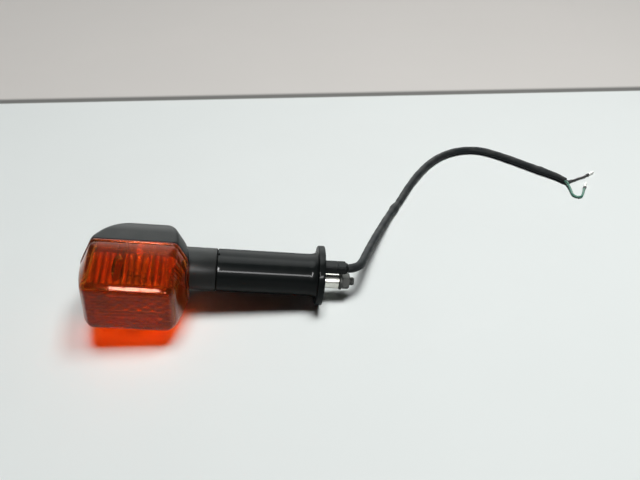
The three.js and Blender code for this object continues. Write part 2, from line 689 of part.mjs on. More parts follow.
/** One lens screw: a pan head with a slot, and its shank. */
function lensScrew([x, z]) {
  const headFront = SCREW_SEAT + SEAT_GAP;
  const headBack = headFront + SCREW_HEAD_HEIGHT;
  const tip = LEDGE_Y - REFLECTOR_RIM - SEAT_GAP - SCREW_ENGAGEMENT;
  const shank = SCREW_DIAMETER / 2;
  const body = lathe([
    [0, tip],
    [shank * 0.6, tip],
    [shank, tip + shank * 0.5],
    [shank, headFront],
    [SCREW_HEAD_DIAMETER / 2, headFront],
    [SCREW_HEAD_DIAMETER / 2, headBack - SCREW_SLOT * 0.6],
    [SCREW_HEAD_DIAMETER / 2 - SCREW_SLOT, headBack],
    [0, headBack],
  ], SMALL_SEGMENTS);
  const slots = [[SCREW_HEAD_DIAMETER * 0.6, SCREW_SLOT], [SCREW_SLOT, SCREW_HEAD_DIAMETER * 0.6]]
    .map(([wide, high]) => new THREE.BoxGeometry(wide, SCREW_SLOT * 3, high).translate(0, headBack, 0));
  return shaped(body, [], slots).translate(x, 0, z);
}

/* ---------- bulb and socket ---------- */

/** The bulb's brass cap, with its two bayonet pins. */
function bulbCap() {
  const radius = BULB_CAP_DIAMETER / 2;
  const hollow = radius - BULB_CAP_WALL;
  const floor = BULB_CAP_END - BULB_CAP_WALL * 2;
  const cup = lathe([
    [0, BULB_CAP_END],
    [radius, BULB_CAP_END],
    [radius, BULB_CAP_FRONT_Y],
    [hollow, BULB_CAP_FRONT_Y],
    [hollow, floor],
    [0, floor],
  ]);
  const reach = 2 * (radius + BAYONET_PIN_REACH);
  const pins = new THREE.CylinderGeometry(
    BAYONET_PIN_DIAMETER / 2, BAYONET_PIN_DIAMETER / 2, reach, SMALL_SEGMENTS,
  ).rotateX(Math.PI / 2).translate(0, BULB_CAP_END - BAYONET_PIN_INSET, 0);
  const bore = barY(hollow, BULB_CAP_FRONT_Y - 1, floor, 0, 0, ROUND_SEGMENTS);
  return shaped(cup, [toGeometry(toSolid(pins).subtract(toSolid(bore)))], []).translate(HEAD_X, 0, 0);
}

/** The bulb's glass: a thin round envelope, open where its neck sits in the cap. */
function bulbGlass() {
  const ball = GLASS_DIAMETER / 2;
  const neck = BULB_CAP_DIAMETER / 2 - BULB_CAP_WALL - GLASS_NECK_CLEARANCE;
  const centre = BULB_CAP_FRONT_Y - GLASS_REACH + ball;
  const open = BULB_CAP_FRONT_Y + GLASS_TUCK;
  const wrap = Math.asin(neck / ball);
  const steps = 9;
  const skin = (shrink) => {
    const arc = Array.from({ length: steps + 1 }, (_, step) => {
      const angle = (step / steps) * (Math.PI - wrap);
      return [(ball - shrink) * Math.sin(angle), centre - (ball - shrink) * Math.cos(angle)];
    });
    return [...arc, [neck - shrink, open]];
  };
  return lathe([...skin(0), ...skin(GLASS_WALL).reverse()]).translate(HEAD_X, 0, 0);
}

/** The filament on its two support wires. */
function filament() {
  const foot = BULB_CAP_END - BULB_CAP_WALL * 2 - SEAT_GAP;
  const top = BULB_CAP_FRONT_Y - FILAMENT_REACH;
  const half = FILAMENT_SPREAD / 2;
  const route = [
    [-half * 0.5, foot], [-half * 0.5, BULB_CAP_FRONT_Y], [-half * 0.7, (BULB_CAP_FRONT_Y + top) / 2],
    [-half, top], [-half * 0.5, top - FILAMENT_WIRE], [0, top - FILAMENT_WIRE * 1.5],
    [half * 0.5, top - FILAMENT_WIRE], [half, top], [half * 0.7, (BULB_CAP_FRONT_Y + top) / 2],
    [half * 0.5, BULB_CAP_FRONT_Y], [half * 0.5, foot],
  ].map(([x, y]) => new THREE.Vector3(HEAD_X + x, y, 0));
  return cord(route, FILAMENT_WIRE, 6, 40);
}

/** The solder button on the end of the bulb. */
function bulbContact() {
  const from = BULB_CAP_END + SEAT_GAP;
  const radius = CONTACT_DIAMETER / 2;
  return lathe([
    [0, from],
    [radius, from],
    [radius * 0.9, from + CONTACT_HEIGHT * 0.6],
    [radius * 0.5, CONTACT_BACK_Y],
    [0, CONTACT_BACK_Y],
  ], SMALL_SEGMENTS).translate(HEAD_X, 0, 0);
}

/** The socket's shell, with the two hooked slots that take the bayonet pins. */
function socketShell() {
  const shell = lathe(tubeProfile(SOCKET_INNER_RADIUS, SOCKET_OUTER_RADIUS, SOCKET_FRONT_Y, SOCKET_END));
  const pinY = BULB_CAP_END - BAYONET_PIN_INSET;
  const width = BAYONET_PIN_DIAMETER + 2 * BAYONET_SLOT_CLEARANCE;
  const reach = 4 * SOCKET_OUTER_RADIUS;
  const turn = THREE.MathUtils.degToRad(BAYONET_TURN_DEG);
  const entry = new THREE.BoxGeometry(width, pinY + width / 2 - SOCKET_FRONT_Y + 1, reach)
    .translate(0, (SOCKET_FRONT_Y - 1 + pinY + width / 2) / 2, 0)
    .rotateY(turn);
  const steps = 6;
  const hook = Array.from({ length: steps + 1 }, (_, step) => (
    new THREE.BoxGeometry(width, width, reach).translate(0, pinY, 0).rotateY((turn * step) / steps)));
  return shaped(shell, [], [entry, ...hook]).translate(HEAD_X, 0, 0);
}

/** The insulating disc at the back of the socket. */
function socketInsulator() {
  const inner = PLUNGER_DIAMETER / 2 + PLUNGER_CLEARANCE;
  const outer = SOCKET_INNER_RADIUS - SEAT_GAP;
  return lathe(tubeProfile(inner, outer, INSULATOR_FRONT_Y, INSULATOR_BACK_Y), SMALL_SEGMENTS)
    .translate(HEAD_X, 0, 0);
}

/** The sprung contact that presses on the bulb. */
function contactPlunger() {
  const stem = PLUNGER_DIAMETER / 2;
  const head = PLUNGER_HEAD_DIAMETER / 2;
  const shoulder = PLUNGER_SHOULDER_Y - PLUNGER_HEAD_HEIGHT;
  return lathe([
    [0, PLUNGER_FRONT_Y],
    [stem * 0.8, PLUNGER_FRONT_Y],
    [stem, PLUNGER_FRONT_Y + PLUNGER_TIP * 0.3],
    [stem, shoulder],
    [head, shoulder],
    [head, PLUNGER_SHOULDER_Y],
    [stem, PLUNGER_SHOULDER_Y],
    [stem, INSULATOR_BACK_Y],
    [0, INSULATOR_BACK_Y],
  ], SMALL_SEGMENTS).translate(HEAD_X, 0, 0);
}

/** The spring behind the plunger's shoulder, short of the disc by the plunger's travel. */
function contactSpring() {
  const radius = PLUNGER_HEAD_DIAMETER / 2 - SPRING_WIRE;
  const from = PLUNGER_SHOULDER_Y + SEAT_GAP + SPRING_WIRE / 2;
  const to = INSULATOR_FRONT_Y - SEAT_GAP - PLUNGER_TRAVEL - SPRING_WIRE / 2;
  const perTurn = 10;
  const count = SPRING_TURNS * perTurn;
  const helix = Array.from({ length: count + 1 }, (_, step) => {
    const angle = (step / perTurn) * 2 * Math.PI;
    const y = from + ((to - from) * step) / count;
    return new THREE.Vector3(HEAD_X + radius * Math.cos(angle), y, radius * Math.sin(angle));
  });
  return cord(helix, SPRING_WIRE, 6, count);
}

/* ---------- stalk and mounting hardware ---------- */

/** The rubber stalk with its flange, its socket for the neck's spigot and its two ways through. */
function stalk() {
  const radius = STALK_DIAMETER / 2;
  const flange = FLANGE_DIAMETER / 2;
  const flareStart = -FLANGE_THICKNESS - FLARE_LENGTH;
  const body = alongX(lathe([
    [0, SEAM_X],
    [radius - STALK_EDGE, SEAM_X],
    [radius, SEAM_X + STALK_EDGE],
    [radius, flareStart],
    [radius + FLARE_RISE * 0.3, flareStart + FLARE_LENGTH * 0.6],
    [radius + FLARE_RISE, -FLANGE_THICKNESS],
    [flange - STALK_EDGE, -FLANGE_THICKNESS],
    [flange, -FLANGE_THICKNESS + STALK_EDGE],
    [flange, -STALK_EDGE * 0.5],
    [flange - STALK_EDGE * 0.5, 0],
    [0, 0],
  ]));
  const socket = barX(
    SPIGOT_DIAMETER / 2 + SPIGOT_CLEARANCE, SEAM_X - 1, SPIGOT_END_X + SEAT_GAP, 0, 0, ROUND_SEGMENTS,
  );
  const sleeveWay = barX(SLEEVE_DIAMETER / 2 + SLEEVE_CLEARANCE, SPIGOT_END_X, 1, 0, -BOLT_DROP);
  const leadWay = barX(LEAD_WAY_RADIUS, SPIGOT_END_X, 1, 0, LEAD_RISE);
  const notch = extrudeX(new THREE.Shape([
    new THREE.Vector2(0, radius - NOTCH_DEPTH),
    new THREE.Vector2(NOTCH_WIDTH / 2, radius + 1),
    new THREE.Vector2(-NOTCH_WIDTH / 2, radius + 1),
  ]), SEAM_X - 1, SEAM_X + NOTCH_DEPTH);
  return shaped(body, [], [socket, sleeveWay, leadWay, notch]);
}

/** The through bolt: a hexagon head inside the housing, a plain shank and its threaded end. */
function stayBolt() {
  const radius = BOLT_DIAMETER / 2;
  const end = NUT_END_X + BOLT_END;
  const shank = alongX(lathe([
    [0, BOLT_HEAD_X - BOLT_HEAD_HEIGHT / 2],
    [radius, BOLT_HEAD_X - BOLT_HEAD_HEIGHT / 2],
    [radius, end - radius * 0.3],
    [radius * 0.75, end],
    [0, end],
  ], SMALL_SEGMENTS), 0, 0, -BOLT_DROP);
  const head = extrudeX(hexagon(BOLT_HEAD_FLATS), BOLT_HEAD_X - BOLT_HEAD_HEIGHT, BOLT_HEAD_X)
    .translate(0, 0, -BOLT_DROP);
  return shaped(shank, [head], []);
}

/** A round ring on the bolt. */
function ringOnBolt(diameter, fromX, toX, segments = ROUND_SEGMENTS) {
  const bore = BOLT_DIAMETER / 2 + BOLT_CLEARANCE;
  return alongX(lathe(tubeProfile(bore, diameter / 2, fromX, toX), segments), 0, 0, -BOLT_DROP);
}

/** The nut, with its bore and chamfered corners. */
function nut() {
  const blank = extrudeX(hexagon(NUT_FLATS), NUT_START_X, NUT_END_X);
  const corner = NUT_FLATS / Math.sqrt(3);
  const dome = alongX(lathe([
    [0, NUT_START_X - 1],
    [corner * 1.1, NUT_START_X - 1],
    [corner * 1.1, NUT_END_X - corner * 0.15],
    [corner * 0.88, NUT_END_X],
    [0, NUT_END_X],
  ]));
  const bore = barX(BOLT_DIAMETER / 2 + BOLT_CLEARANCE, NUT_START_X - 1, NUT_END_X + 1, 0, 0);
  const solid = toSolid(blank).intersect(toSolid(dome)).subtract(toSolid(bore));
  return toGeometry(solid).translate(0, 0, -BOLT_DROP);
}

/** A block round the lead, with rounded upper corners and chamfered lower ones. */
function leadShape() {
  const half = BLOCK_WIDTH / 2;
  const top = LEAD_RISE + half;
  const foot = LEAD_RISE - half;
  const quarter = Math.PI / 2;
  const shape = new THREE.Shape();
  shape.moveTo(-half * BLOCK_FOOT, foot);
  shape.lineTo(half * BLOCK_FOOT, foot);
  shape.lineTo(half, foot + half * BLOCK_FOOT);
  shape.absarc(half - BLOCK_CORNER, top - BLOCK_CORNER, BLOCK_CORNER, 0, quarter, false);
  shape.absarc(BLOCK_CORNER - half, top - BLOCK_CORNER, BLOCK_CORNER, quarter, 2 * quarter, false);
  shape.lineTo(-half, foot + half * BLOCK_FOOT);
  shape.lineTo(-half * BLOCK_FOOT, foot);
  return shape;
}

/** The locating block on the flange's face: it keys the lamp to its bracket and carries the lead. */
function locatingBlock() {
  const block = extrudeX(leadShape(), SEAT_GAP, SEAT_GAP + BLOCK_LENGTH);
  const way = barX(LEAD_WAY_RADIUS, -1, BLOCK_LENGTH + 1, 0, LEAD_RISE);
  return shaped(block, [], [way]);
}

/** The lead's grommet: a chamfered block and a short tapered nose. */
function leadGrommet() {
  const half = BLOCK_WIDTH / 2;
  const noseRadius = LEAD_WAY_RADIUS + GROMMET_NOSE_WALL;
  const body = extrudeX(leadShape(), GROMMET_START_X, NOSE_START_X);
  const bevel = alongX(lathe([
    [0, GROMMET_START_X - 1],
    [BLOCK_WIDTH, GROMMET_START_X - 1],
    [half * 1.15 + GROMMET_CHAMFER, NOSE_START_X - GROMMET_CHAMFER * 1.2],
    [half * 1.15, NOSE_START_X],
    [0, NOSE_START_X],
  ]), 0, 0, LEAD_RISE);
  const nose = alongX(lathe([
    [0, NOSE_START_X - 1],
    [noseRadius, NOSE_START_X - 1],
    [noseRadius, NOSE_START_X + GROMMET_NOSE_LENGTH * NOSE_STRAIGHT],
    [LEAD_WAY_RADIUS + LEAD_CLEARANCE, MOUTH_X],
    [0, MOUTH_X],
  ], SMALL_SEGMENTS), 0, 0, LEAD_RISE);
  const way = barX(LEAD_WAY_RADIUS, GROMMET_START_X - 1, MOUTH_X + 1, 0, LEAD_RISE);
  const solid = toSolid(body).intersect(toSolid(bevel)).add(toSolid(nose)).subtract(toSolid(way));
  return toGeometry(solid);
}

/* ---------- wiring inside the lamp ---------- */

/** The stretch of the lead that the lamp holds, from the head to the grommet's mouth. */
function innerLead() {
  return barX(LEAD_DIAMETER / 2, INNER_LEAD_END_X, MOUTH_X - SEAT_GAP, 0, LEAD_RISE, LEAD_SIDES);
}

/** A wire inside the head, from the lead's end down to the back of the socket. */
function innerWire(side) {
  const start = INNER_LEAD_END_X - SEAT_GAP;
  const rim = HEAD_X + SOCKET_OUTER_RADIUS + SOCKET_BOSS_WALL;
  const y = side * WIRE_SPREAD;
  const foot = side * WIRE_SPREAD * 2;
  const socketSide = SOCKET_OUTER_RADIUS + WIRE_DIAMETER / 2 + SEAT_GAP;
  const route = [
    [start, y, LEAD_RISE],
    [start - WIRE_DIAMETER * 2, y, LEAD_RISE],
    [rim + WIRE_DIAMETER, y + INNER_WIRE_SET[0], LEAD_RISE - INNER_WIRE_DROP],
    [HEAD_X + socketSide + WIRE_DIAMETER / 2, y + INNER_WIRE_SET[1], foot + WIRE_SPREAD],
    [HEAD_X + socketSide, y + INNER_WIRE_SET[2], foot],
  ].map((point) => new THREE.Vector3(...point));
  return cord(route, WIRE_DIAMETER, WIRE_SIDES, 14);
}

/* ---------- free lead, wires and terminals, on the table ---------- */

/** A point on the table under or beside another, at a height. */
function onTable(from, [dx, dy], height) {
  return new THREE.Vector3(from.x + dx, from.y + dy, height);
}

/** The lead's points: from the grommet's mouth down to the table and along it. */
function leadPoints(mouth, direction) {
  const lying = LEAD_DIAMETER / 2;
  const start = mouth.clone().addScaledVector(direction, lying * LEAD_END_TIP);
  const rest = LEAD_ROUTE.map(([dx, dy, share]) => (
    onTable(mouth, [dx, dy], lying + (mouth.z - lying) * share)));
  return [start, ...rest];
}

/** A wire's points, from the lead's end. */
function wirePoints(leadEnd, heading, side, route) {
  const across = new THREE.Vector3(-heading.y, heading.x, 0).multiplyScalar(side * WIRE_SPREAD);
  const start = leadEnd.clone().addScaledVector(heading, SEAT_GAP).add(across);
  const straight = start.clone().addScaledVector(heading, WIRE_DIAMETER);
  const lying = SLEEVE_TUBE_DIAMETER / 2;
  const rest = route.map((step, at) => onTable(leadEnd, step, at === 0 ? (lying + start.z) / 2 : lying));
  return [start, straight, ...rest];
}

/** A round piece on a wire's end, from [radius, distance] points along the wire's heading. */
function onWireEnd(points, profile) {
  const [before, end] = points.slice(-2);
  const heading = end.clone().sub(before).normalize();
  const turn = new THREE.Quaternion().setFromUnitVectors(new THREE.Vector3(0, 1, 0), heading);
  return lathe(profile, TERMINAL_SIDES).applyQuaternion(turn).translate(end.x, end.y, end.z);
}

/** The short sleeve over the crimp. */
function crimpSleeve(points) {
  const radius = SLEEVE_TUBE_DIAMETER / 2;
  return onWireEnd(points, [
    [0, SEAT_GAP], [radius, SEAT_GAP], [radius, SEAT_GAP + SLEEVE_TUBE_LENGTH],
    [0, SEAT_GAP + SLEEVE_TUBE_LENGTH],
  ]);
}

/** The bullet terminal past the sleeve. */
function bulletTerminal(points) {
  const radius = TERMINAL_DIAMETER / 2;
  const from = SEAT_GAP * 2 + SLEEVE_TUBE_LENGTH;
  return onWireEnd(points, [
    [0, from],
    [radius, from],
    [radius, from + TERMINAL_LENGTH - TERMINAL_TIP],
    [radius * 0.5, from + TERMINAL_LENGTH],
    [0, from + TERMINAL_LENGTH],
  ]);
}

/* ---------- assembly ---------- */

/** A named mesh. */
function piece(name, geometry, material) {
  const mesh = new THREE.Mesh(geometry, material);
  mesh.name = name;
  return mesh;
}

/** The lamp, in its own frame. */
function lamp() {
  const group = new THREE.Group();
  group.add(
    piece('lens', lens(), FINISH.amber),
    piece('lens_gasket', gasket(), FINISH.seal),
    piece('housing', housing(), FINISH.housing),
    piece('reflector', reflector(), FINISH.mirror),
    piece('lens_screw_upper', lensScrew(SCREWS[0]), FINISH.zinc),
    piece('lens_screw_lower', lensScrew(SCREWS[1]), FINISH.zinc),
    piece('bulb_glass', bulbGlass(), FINISH.glass),
    piece('bulb_cap', bulbCap(), FINISH.brass),
    piece('bulb_filament', filament(), FINISH.tungsten),
    piece('bulb_contact', bulbContact(), FINISH.zinc),
    piece('socket_shell', socketShell(), FINISH.zinc),
    piece('socket_insulator', socketInsulator(), FINISH.moulding),
    piece('contact_plunger', contactPlunger(), FINISH.brass),
    piece('contact_spring', contactSpring(), FINISH.zinc),
    piece('stalk', stalk(), FINISH.rubber),
    piece('stay_sleeve', ringOnBolt(SLEEVE_DIAMETER, SPIGOT_END_X + SEAT_GAP, 0), FINISH.zinc),
    piece('stay_bolt', stayBolt(), FINISH.darkSteel),
    piece('collar', ringOnBolt(COLLAR_DIAMETER, COLLAR_START_X, COLLAR_END_X), FINISH.zinc),
    piece('washer', ringOnBolt(WASHER_DIAMETER, WASHER_START_X, WASHER_END_X), FINISH.zinc),
    piece('nut', nut(), FINISH.darkSteel),
    piece('locating_block', locatingBlock(), FINISH.moulding),
    piece('lead_grommet', leadGrommet(), FINISH.moulding),
    piece('lead_inner', innerLead(), FINISH.sheath),
    piece('live_wire_inner', innerWire(1), FINISH.blackWire),
    piece('earth_wire_inner', innerWire(-1), FINISH.greenWire),
  );
  return group;
}

/** How far the lamp tips to stand on its flange's rim and on the lowest corner of its head. */
function restingTilt() {
  const behind = housingRings(PARTING_Y, HOUSING_DEPTH, 0).flat();
  const outline = [...ringAt(PARTING_Y, PARTING_OUTLINE), ...behind];
  const slopes = outline.map((point) => Math.atan2(-point.z - FLANGE_DIAMETER / 2, -point.x));
  return Math.max(...slopes);
}

/** The free lead with its two wires and their terminals. */
function freeLead(mouth, direction) {
  const lead = leadPoints(mouth, direction);
  const [before, end] = lead.slice(-2);
  const heading = end.clone().sub(before).normalize();
  const black = wirePoints(end, heading, 1, BLACK_WIRE_ROUTE);
  const green = wirePoints(end, heading, -1, GREEN_WIRE_ROUTE);
  const group = new THREE.Group();
  group.add(
    piece('lead_sheath', cord(lead, LEAD_DIAMETER, LEAD_SIDES, 40), FINISH.sheath),
    piece('wire_black', cord(black, WIRE_DIAMETER, WIRE_SIDES, 10), FINISH.blackWire),
    piece('wire_green', cord(green, WIRE_DIAMETER, WIRE_SIDES, 18), FINISH.greenWire),
    piece('crimp_sleeve_black', crimpSleeve(black), FINISH.moulding),
    piece('crimp_sleeve_green', crimpSleeve(green), FINISH.moulding),
    piece('bullet_black', bulletTerminal(black), FINISH.tin),
    piece('bullet_green', bulletTerminal(green), FINISH.tin),
  );
  return group;
}

const body = lamp();
body.rotation.y = restingTilt();
body.updateMatrixWorld(true);
const extent = new THREE.Box3().setFromObject(body, true);
body.position.set(-(extent.min.x + extent.max.x) / 2, -(extent.min.y + extent.max.y) / 2, -extent.min.z);
body.updateMatrixWorld(true);

const leadMouth = body.localToWorld(new THREE.Vector3(MOUTH_X, 0, LEAD_RISE));
const leadDirection = new THREE.Vector3(1, 0, 0).transformDirection(body.matrixWorld);

const indicator = new THREE.Group();
indicator.add(body, freeLead(leadMouth, leadDirection));

export default indicator;
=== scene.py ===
"""Looks of a motorcycle turn signal indicator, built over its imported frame.

An amber lens on a black housing, a black stalk with a flange, the hardware that clamps it to its
bracket, the bulb and reflector inside, and the lead with its two wires.
"""

import json
import logging
import math
from dataclasses import dataclass
from enum import Enum

import bpy
import numpy as np
from mathutils import Matrix, Vector


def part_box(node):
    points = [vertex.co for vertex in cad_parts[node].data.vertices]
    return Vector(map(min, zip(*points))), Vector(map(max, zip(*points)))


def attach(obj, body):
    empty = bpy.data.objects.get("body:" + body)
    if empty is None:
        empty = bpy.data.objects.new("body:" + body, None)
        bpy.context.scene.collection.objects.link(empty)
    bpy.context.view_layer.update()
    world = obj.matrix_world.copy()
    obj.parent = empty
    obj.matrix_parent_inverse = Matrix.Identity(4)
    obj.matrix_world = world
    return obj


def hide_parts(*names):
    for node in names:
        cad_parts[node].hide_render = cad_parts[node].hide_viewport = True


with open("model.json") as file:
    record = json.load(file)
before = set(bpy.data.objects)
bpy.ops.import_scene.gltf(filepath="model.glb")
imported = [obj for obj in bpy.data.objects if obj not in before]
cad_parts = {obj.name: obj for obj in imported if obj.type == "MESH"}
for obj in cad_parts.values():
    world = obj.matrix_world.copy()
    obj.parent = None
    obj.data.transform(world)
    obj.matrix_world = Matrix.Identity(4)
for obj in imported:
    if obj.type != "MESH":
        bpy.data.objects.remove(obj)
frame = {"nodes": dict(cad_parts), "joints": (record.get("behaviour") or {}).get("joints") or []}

logging.basicConfig(level=logging.INFO, format="%(message)s")
LOG = logging.getLogger("indicator")

Point = tuple[float, float, float]
Color = tuple[float, float, float, float]
MM = 0.001
POLE = 0.01  # the radius that closes a round blank, in millimetres


class Body(Enum):
    """The bodies that the pieces ride on."""

    LAMP = "lamp"
    LENS = "lens"
    NUT = "nut"
    SCREW_UPPER = "screw_upper"
    SCREW_LOWER = "screw_lower"
    BULB = "bulb"
    CONTACT = "contact"


class Axis(Enum):
    """The lamp's own axes that round pieces are turned about."""

    ALONG = "x"
    OPTIC = "y"


# ---------------------------------------------------------------- frame and blanks


@dataclass(frozen=True)
class LampFrame:
    """The lamp's own frame: X along the stalk, -Y out of the lens, in millimetres.

    Attributes:
        matrix: Takes millimetres in the lamp's frame to metres in the row's frame.
    """

    matrix: Matrix

    @classmethod
    def from_joints(cls, joints: list[dict], nut_centre: Point) -> "LampFrame":
        """Reads the frame off the nut's joint.

        Args:
            joints: The record's joints.
            nut_centre: Where that joint stands in the lamp's frame, in millimetres.

        Returns:
            The lamp's frame.
        """
        spin = next(joint for joint in joints if joint["name"] == "nut_spin")
        along = Vector(spin["axis"]).normalized()
        across = Vector((0, 1, 0))
        up = along.cross(across)
        turn = Matrix((along, across, up)).transposed()
        origin = Vector(spin["pos_m"]) - turn @ (Vector(nut_centre) * MM)
        return cls(Matrix.Translation(origin) @ turn.to_4x4() @ Matrix.Scale(MM, 4))

    def point(self, x: float, y: float, z: float) -> Vector:
        """The row frame's point for one in the lamp's frame."""
        return self.matrix @ Vector((x, y, z))

    def direction(self) -> Vector:
        """The way out along the stalk, in the row's frame."""
        return (self.matrix.to_3x3() @ Vector((1, 0, 0))).normalized()


@dataclass
class Blank:
    """A closed mesh under way.

    Attributes:
        points: Its corners, one row each.
        faces: Its faces, as lists of corner numbers.
    """

    points: np.ndarray
    faces: list[tuple[int, ...]]

    def outward(self) -> "Blank":
        """The same blank with its faces pointing out.

        Returns:
            The blank.
        """
        total = 0.0
        for face in self.faces:
            a = self.points[face[0]]
            for b, c in zip(face[1:-1], face[2:]):
                total += float(np.dot(a, np.cross(self.points[b], self.points[c])))
        if total < 0:
            self.faces = [tuple(reversed(face)) for face in self.faces]
        return self

    def mesh(self, name: str) -> bpy.types.Mesh:
        """A Blender mesh of it.

        Args:
            name: The mesh's name.

        Returns:
            The mesh.
        """
        made = bpy.data.meshes.new(name)
        made.from_pydata([tuple(p) for p in self.points], [], self.faces)
        made.validate()
        return made


def loft(rings: list[np.ndarray], looped: bool = False) -> Blank:
    """A skin over rings with equal counts of points.

    Args:
        rings: The rings, in order.
        looped: Whether the last ring joins the first instead of both being capped.

    Returns:
        The closed blank.
    """
    count = len(rings[0])
    points = np.vstack(rings)
    faces: list[tuple[int, ...]] = []
    spans = len(rings) if looped else len(rings) - 1
    for ring in range(spans):
        here, there = ring * count, ((ring + 1) % len(rings)) * count
        for side in range(count):
            after = (side + 1) % count
            faces.append((here + side, there + side, there + after, here + after))
    if not looped:
        last = (len(rings) - 1) * count
        middles = np.vstack([rings[0].mean(0), rings[-1].mean(0)])
        points = np.vstack([points, middles])
        low, high = len(points) - 2, len(points) - 1
        for side in range(count):
            after = (side + 1) % count
            faces.append((side, after, low))
            faces.append((last + after, last + side, high))
    return Blank(points, faces).outward()


def turned(
    profile: list[tuple[float, float]],
    axis: Axis,
    centre: tuple[float, float] = (0.0, 0.0),
    segments: int = 96,
    looped: bool = False,
) -> Blank:
    """A round blank.

    Args:
        profile: Radius and place along the axis, in order.
        axis: Which of the lamp's axes it turns about.
        centre: The axis's place: Y and Z for ALONG, X and Z for OPTIC.
        segments: Sides of the round.
        looped: Whether the profile is a loop, as for a ring.

    Returns:
        The blank.
    """
    angles = np.linspace(0, 2 * math.pi, segments, endpoint=False)
    rings = []
    for radius, place in profile:
        a, b = radius * np.cos(angles), radius * np.sin(angles)
        if axis is Axis.ALONG:
            ring = [np.full(segments, place), centre[0] + a, centre[1] + b]
        else:
            ring = [centre[0] + a, np.full(segments, place), centre[1] + b]
        rings.append(np.column_stack(ring))
    return loft(rings, looped)


def plug(radius: float, start: float, end: float, axis: Axis,
         centre: tuple[float, float] = (0.0, 0.0), segments: int = 96) -> Blank:
    """A plain cylinder.

    Args:
        radius: Its radius.
        start: Its start along the axis.
        end: Its end.
        axis: The lamp's axis that it lies along.
        centre: That axis's place, as for turned.
        segments: Sides of the round.

    Returns:
        The blank.
    """
    profile = [(POLE, start), (radius, start), (radius, end), (POLE, end)]
    return turned(profile, axis, centre, segments)


def prism(outline: list[tuple[float, float]], start: float, end: float) -> Blank:
    """A blank with a flat outline in Y and Z, deep along X.

    Args:
        outline: The outline's corners.
        start: X of its start.
        end: X of its end.

    Returns:
        The blank.
    """
    flat = np.array(outline, float)
    rings = [np.column_stack([np.full(len(flat), x), flat]) for x in (start, end)]
    return loft(rings)


def block(low: Point, high: Point, turn: float = 0.0, about: tuple[float, float] = (0, 0)) -> Blank:
    """A plain block for cutting, turned about an optic axis.

    Args:
        low: Its lowest corner.
        high: Its highest corner.
        turn: Its turn in radians.
        about: X and Z of the axis that it is turned about.

    Returns:
        The blank.
    """
    base = np.array([[x, y, z] for y in (low[1], high[1]) for x, z in (
        (low[0], low[2]), (high[0], low[2]), (high[0], high[2]), (low[0], high[2]))], float)
    c, s = math.cos(turn), math.sin(turn)
    x, z = base[:, 0] - about[0], base[:, 2] - about[1]
    base[:, 0], base[:, 2] = about[0] + c * x + s * z, about[1] - s * x + c * z
    return loft([base[:4], base[4:]])


def linked(name: str, data: bpy.types.ID) -> bpy.types.Object:
    """A new object in the scene.

    Args:
        name: Its name.
        data: Its mesh, lamp or camera.

    Returns:
        The object.
    """
    made = bpy.data.objects.new(name, data)
    bpy.context.scene.collection.objects.link(made)
    return made


def evaluated(piece: bpy.types.Object) -> bpy.types.Mesh:
    """A plain mesh of a piece, its modifiers run."""
    graph = bpy.context.evaluated_depsgraph_get()
    return bpy.data.meshes.new_from_object(piece.evaluated_get(graph))


class Cut(Enum):
    """The ways in which one blank changes another."""

    AWAY = "DIFFERENCE"
    JOIN = "UNION"
    WITHIN = "INTERSECT"


def carve(base: bpy.types.Mesh, steps: list[tuple[Cut, Blank | bpy.types.Mesh]]) -> bpy.types.Mesh:
    """Changes a mesh by others, one after another.

    Args:
        base: The mesh to start from.
        steps: What to do, and with which blank.

    Returns:
        The new mesh.
    """
    worked = linked("worked", base)
    tools = []
    for number, (cut, blank) in enumerate(steps):
        mesh = blank.mesh(f"tool_{number}") if isinstance(blank, Blank) else blank
        tools.append(linked(f"tool_{number}", mesh))
        modifier = worked.modifiers.new(cut.value, "BOOLEAN")
        modifier.operation = cut.value
        modifier.object = tools[-1]
        modifier.solver = "MANIFOLD"
    made = evaluated(worked)
    for thing in [worked, *tools]:
        bpy.data.objects.remove(thing)
    return made


def settle(
    name: str,
    made: Blank | bpy.types.Mesh,
    material: bpy.types.Material,
    matrix: Matrix | None = None,
    smooth_deg: float = 32.0,
) -> bpy.types.Object:
    """Puts a finished mesh in the scene, at the origin and smooth up to an angle.

    Args:
        name: The piece's name.
        made: Its blank or mesh.
        material: Its finish.
        matrix: Takes it to metres in the row's frame.
        smooth_deg: Edges sharper than this stay sharp.

    Returns:
        The piece.
    """
    mesh = made.mesh(name) if isinstance(made, Blank) else made
    mesh.name = name
    piece = linked(name, mesh)
    if matrix is not None:
        mesh.transform(matrix)
    mesh.materials.clear()
    mesh.materials.append(material)
    mesh.shade_smooth()
    mesh.set_sharp_from_angle(angle=math.radians(smooth_deg))
    return piece


def place(piece: bpy.types.Object, body: Body, slot: str, *nodes: str) -> bpy.types.Object:
    """Says which body a piece rides on, and hides the frame's nodes that it stands for.

    Args:
        piece: The piece.
        body: The body that it rides on.
        slot: Not used.
        nodes: The frame's nodes that it stands for.

    Returns:
        The piece.
    """
    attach(piece, body.value)
    if nodes:
        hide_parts(*nodes)
    LOG.info("piece %s: %d faces, on %s", piece.name, len(piece.data.polygons), body.value)
    return piece


def carry(node: str, material: bpy.types.Material) -> bpy.types.Object:
    """Gives a node of the frame its finish.

    Args:
        node: The node's name.
        material: Its finish.

    Returns:
        The piece.
    """
    piece = frame["nodes"][node]
    piece.data.materials.clear()
    piece.data.materials.append(material)
    LOG.info("node %s keeps its shape", node)
    return piece


# ---------------------------------------------------------------- curves


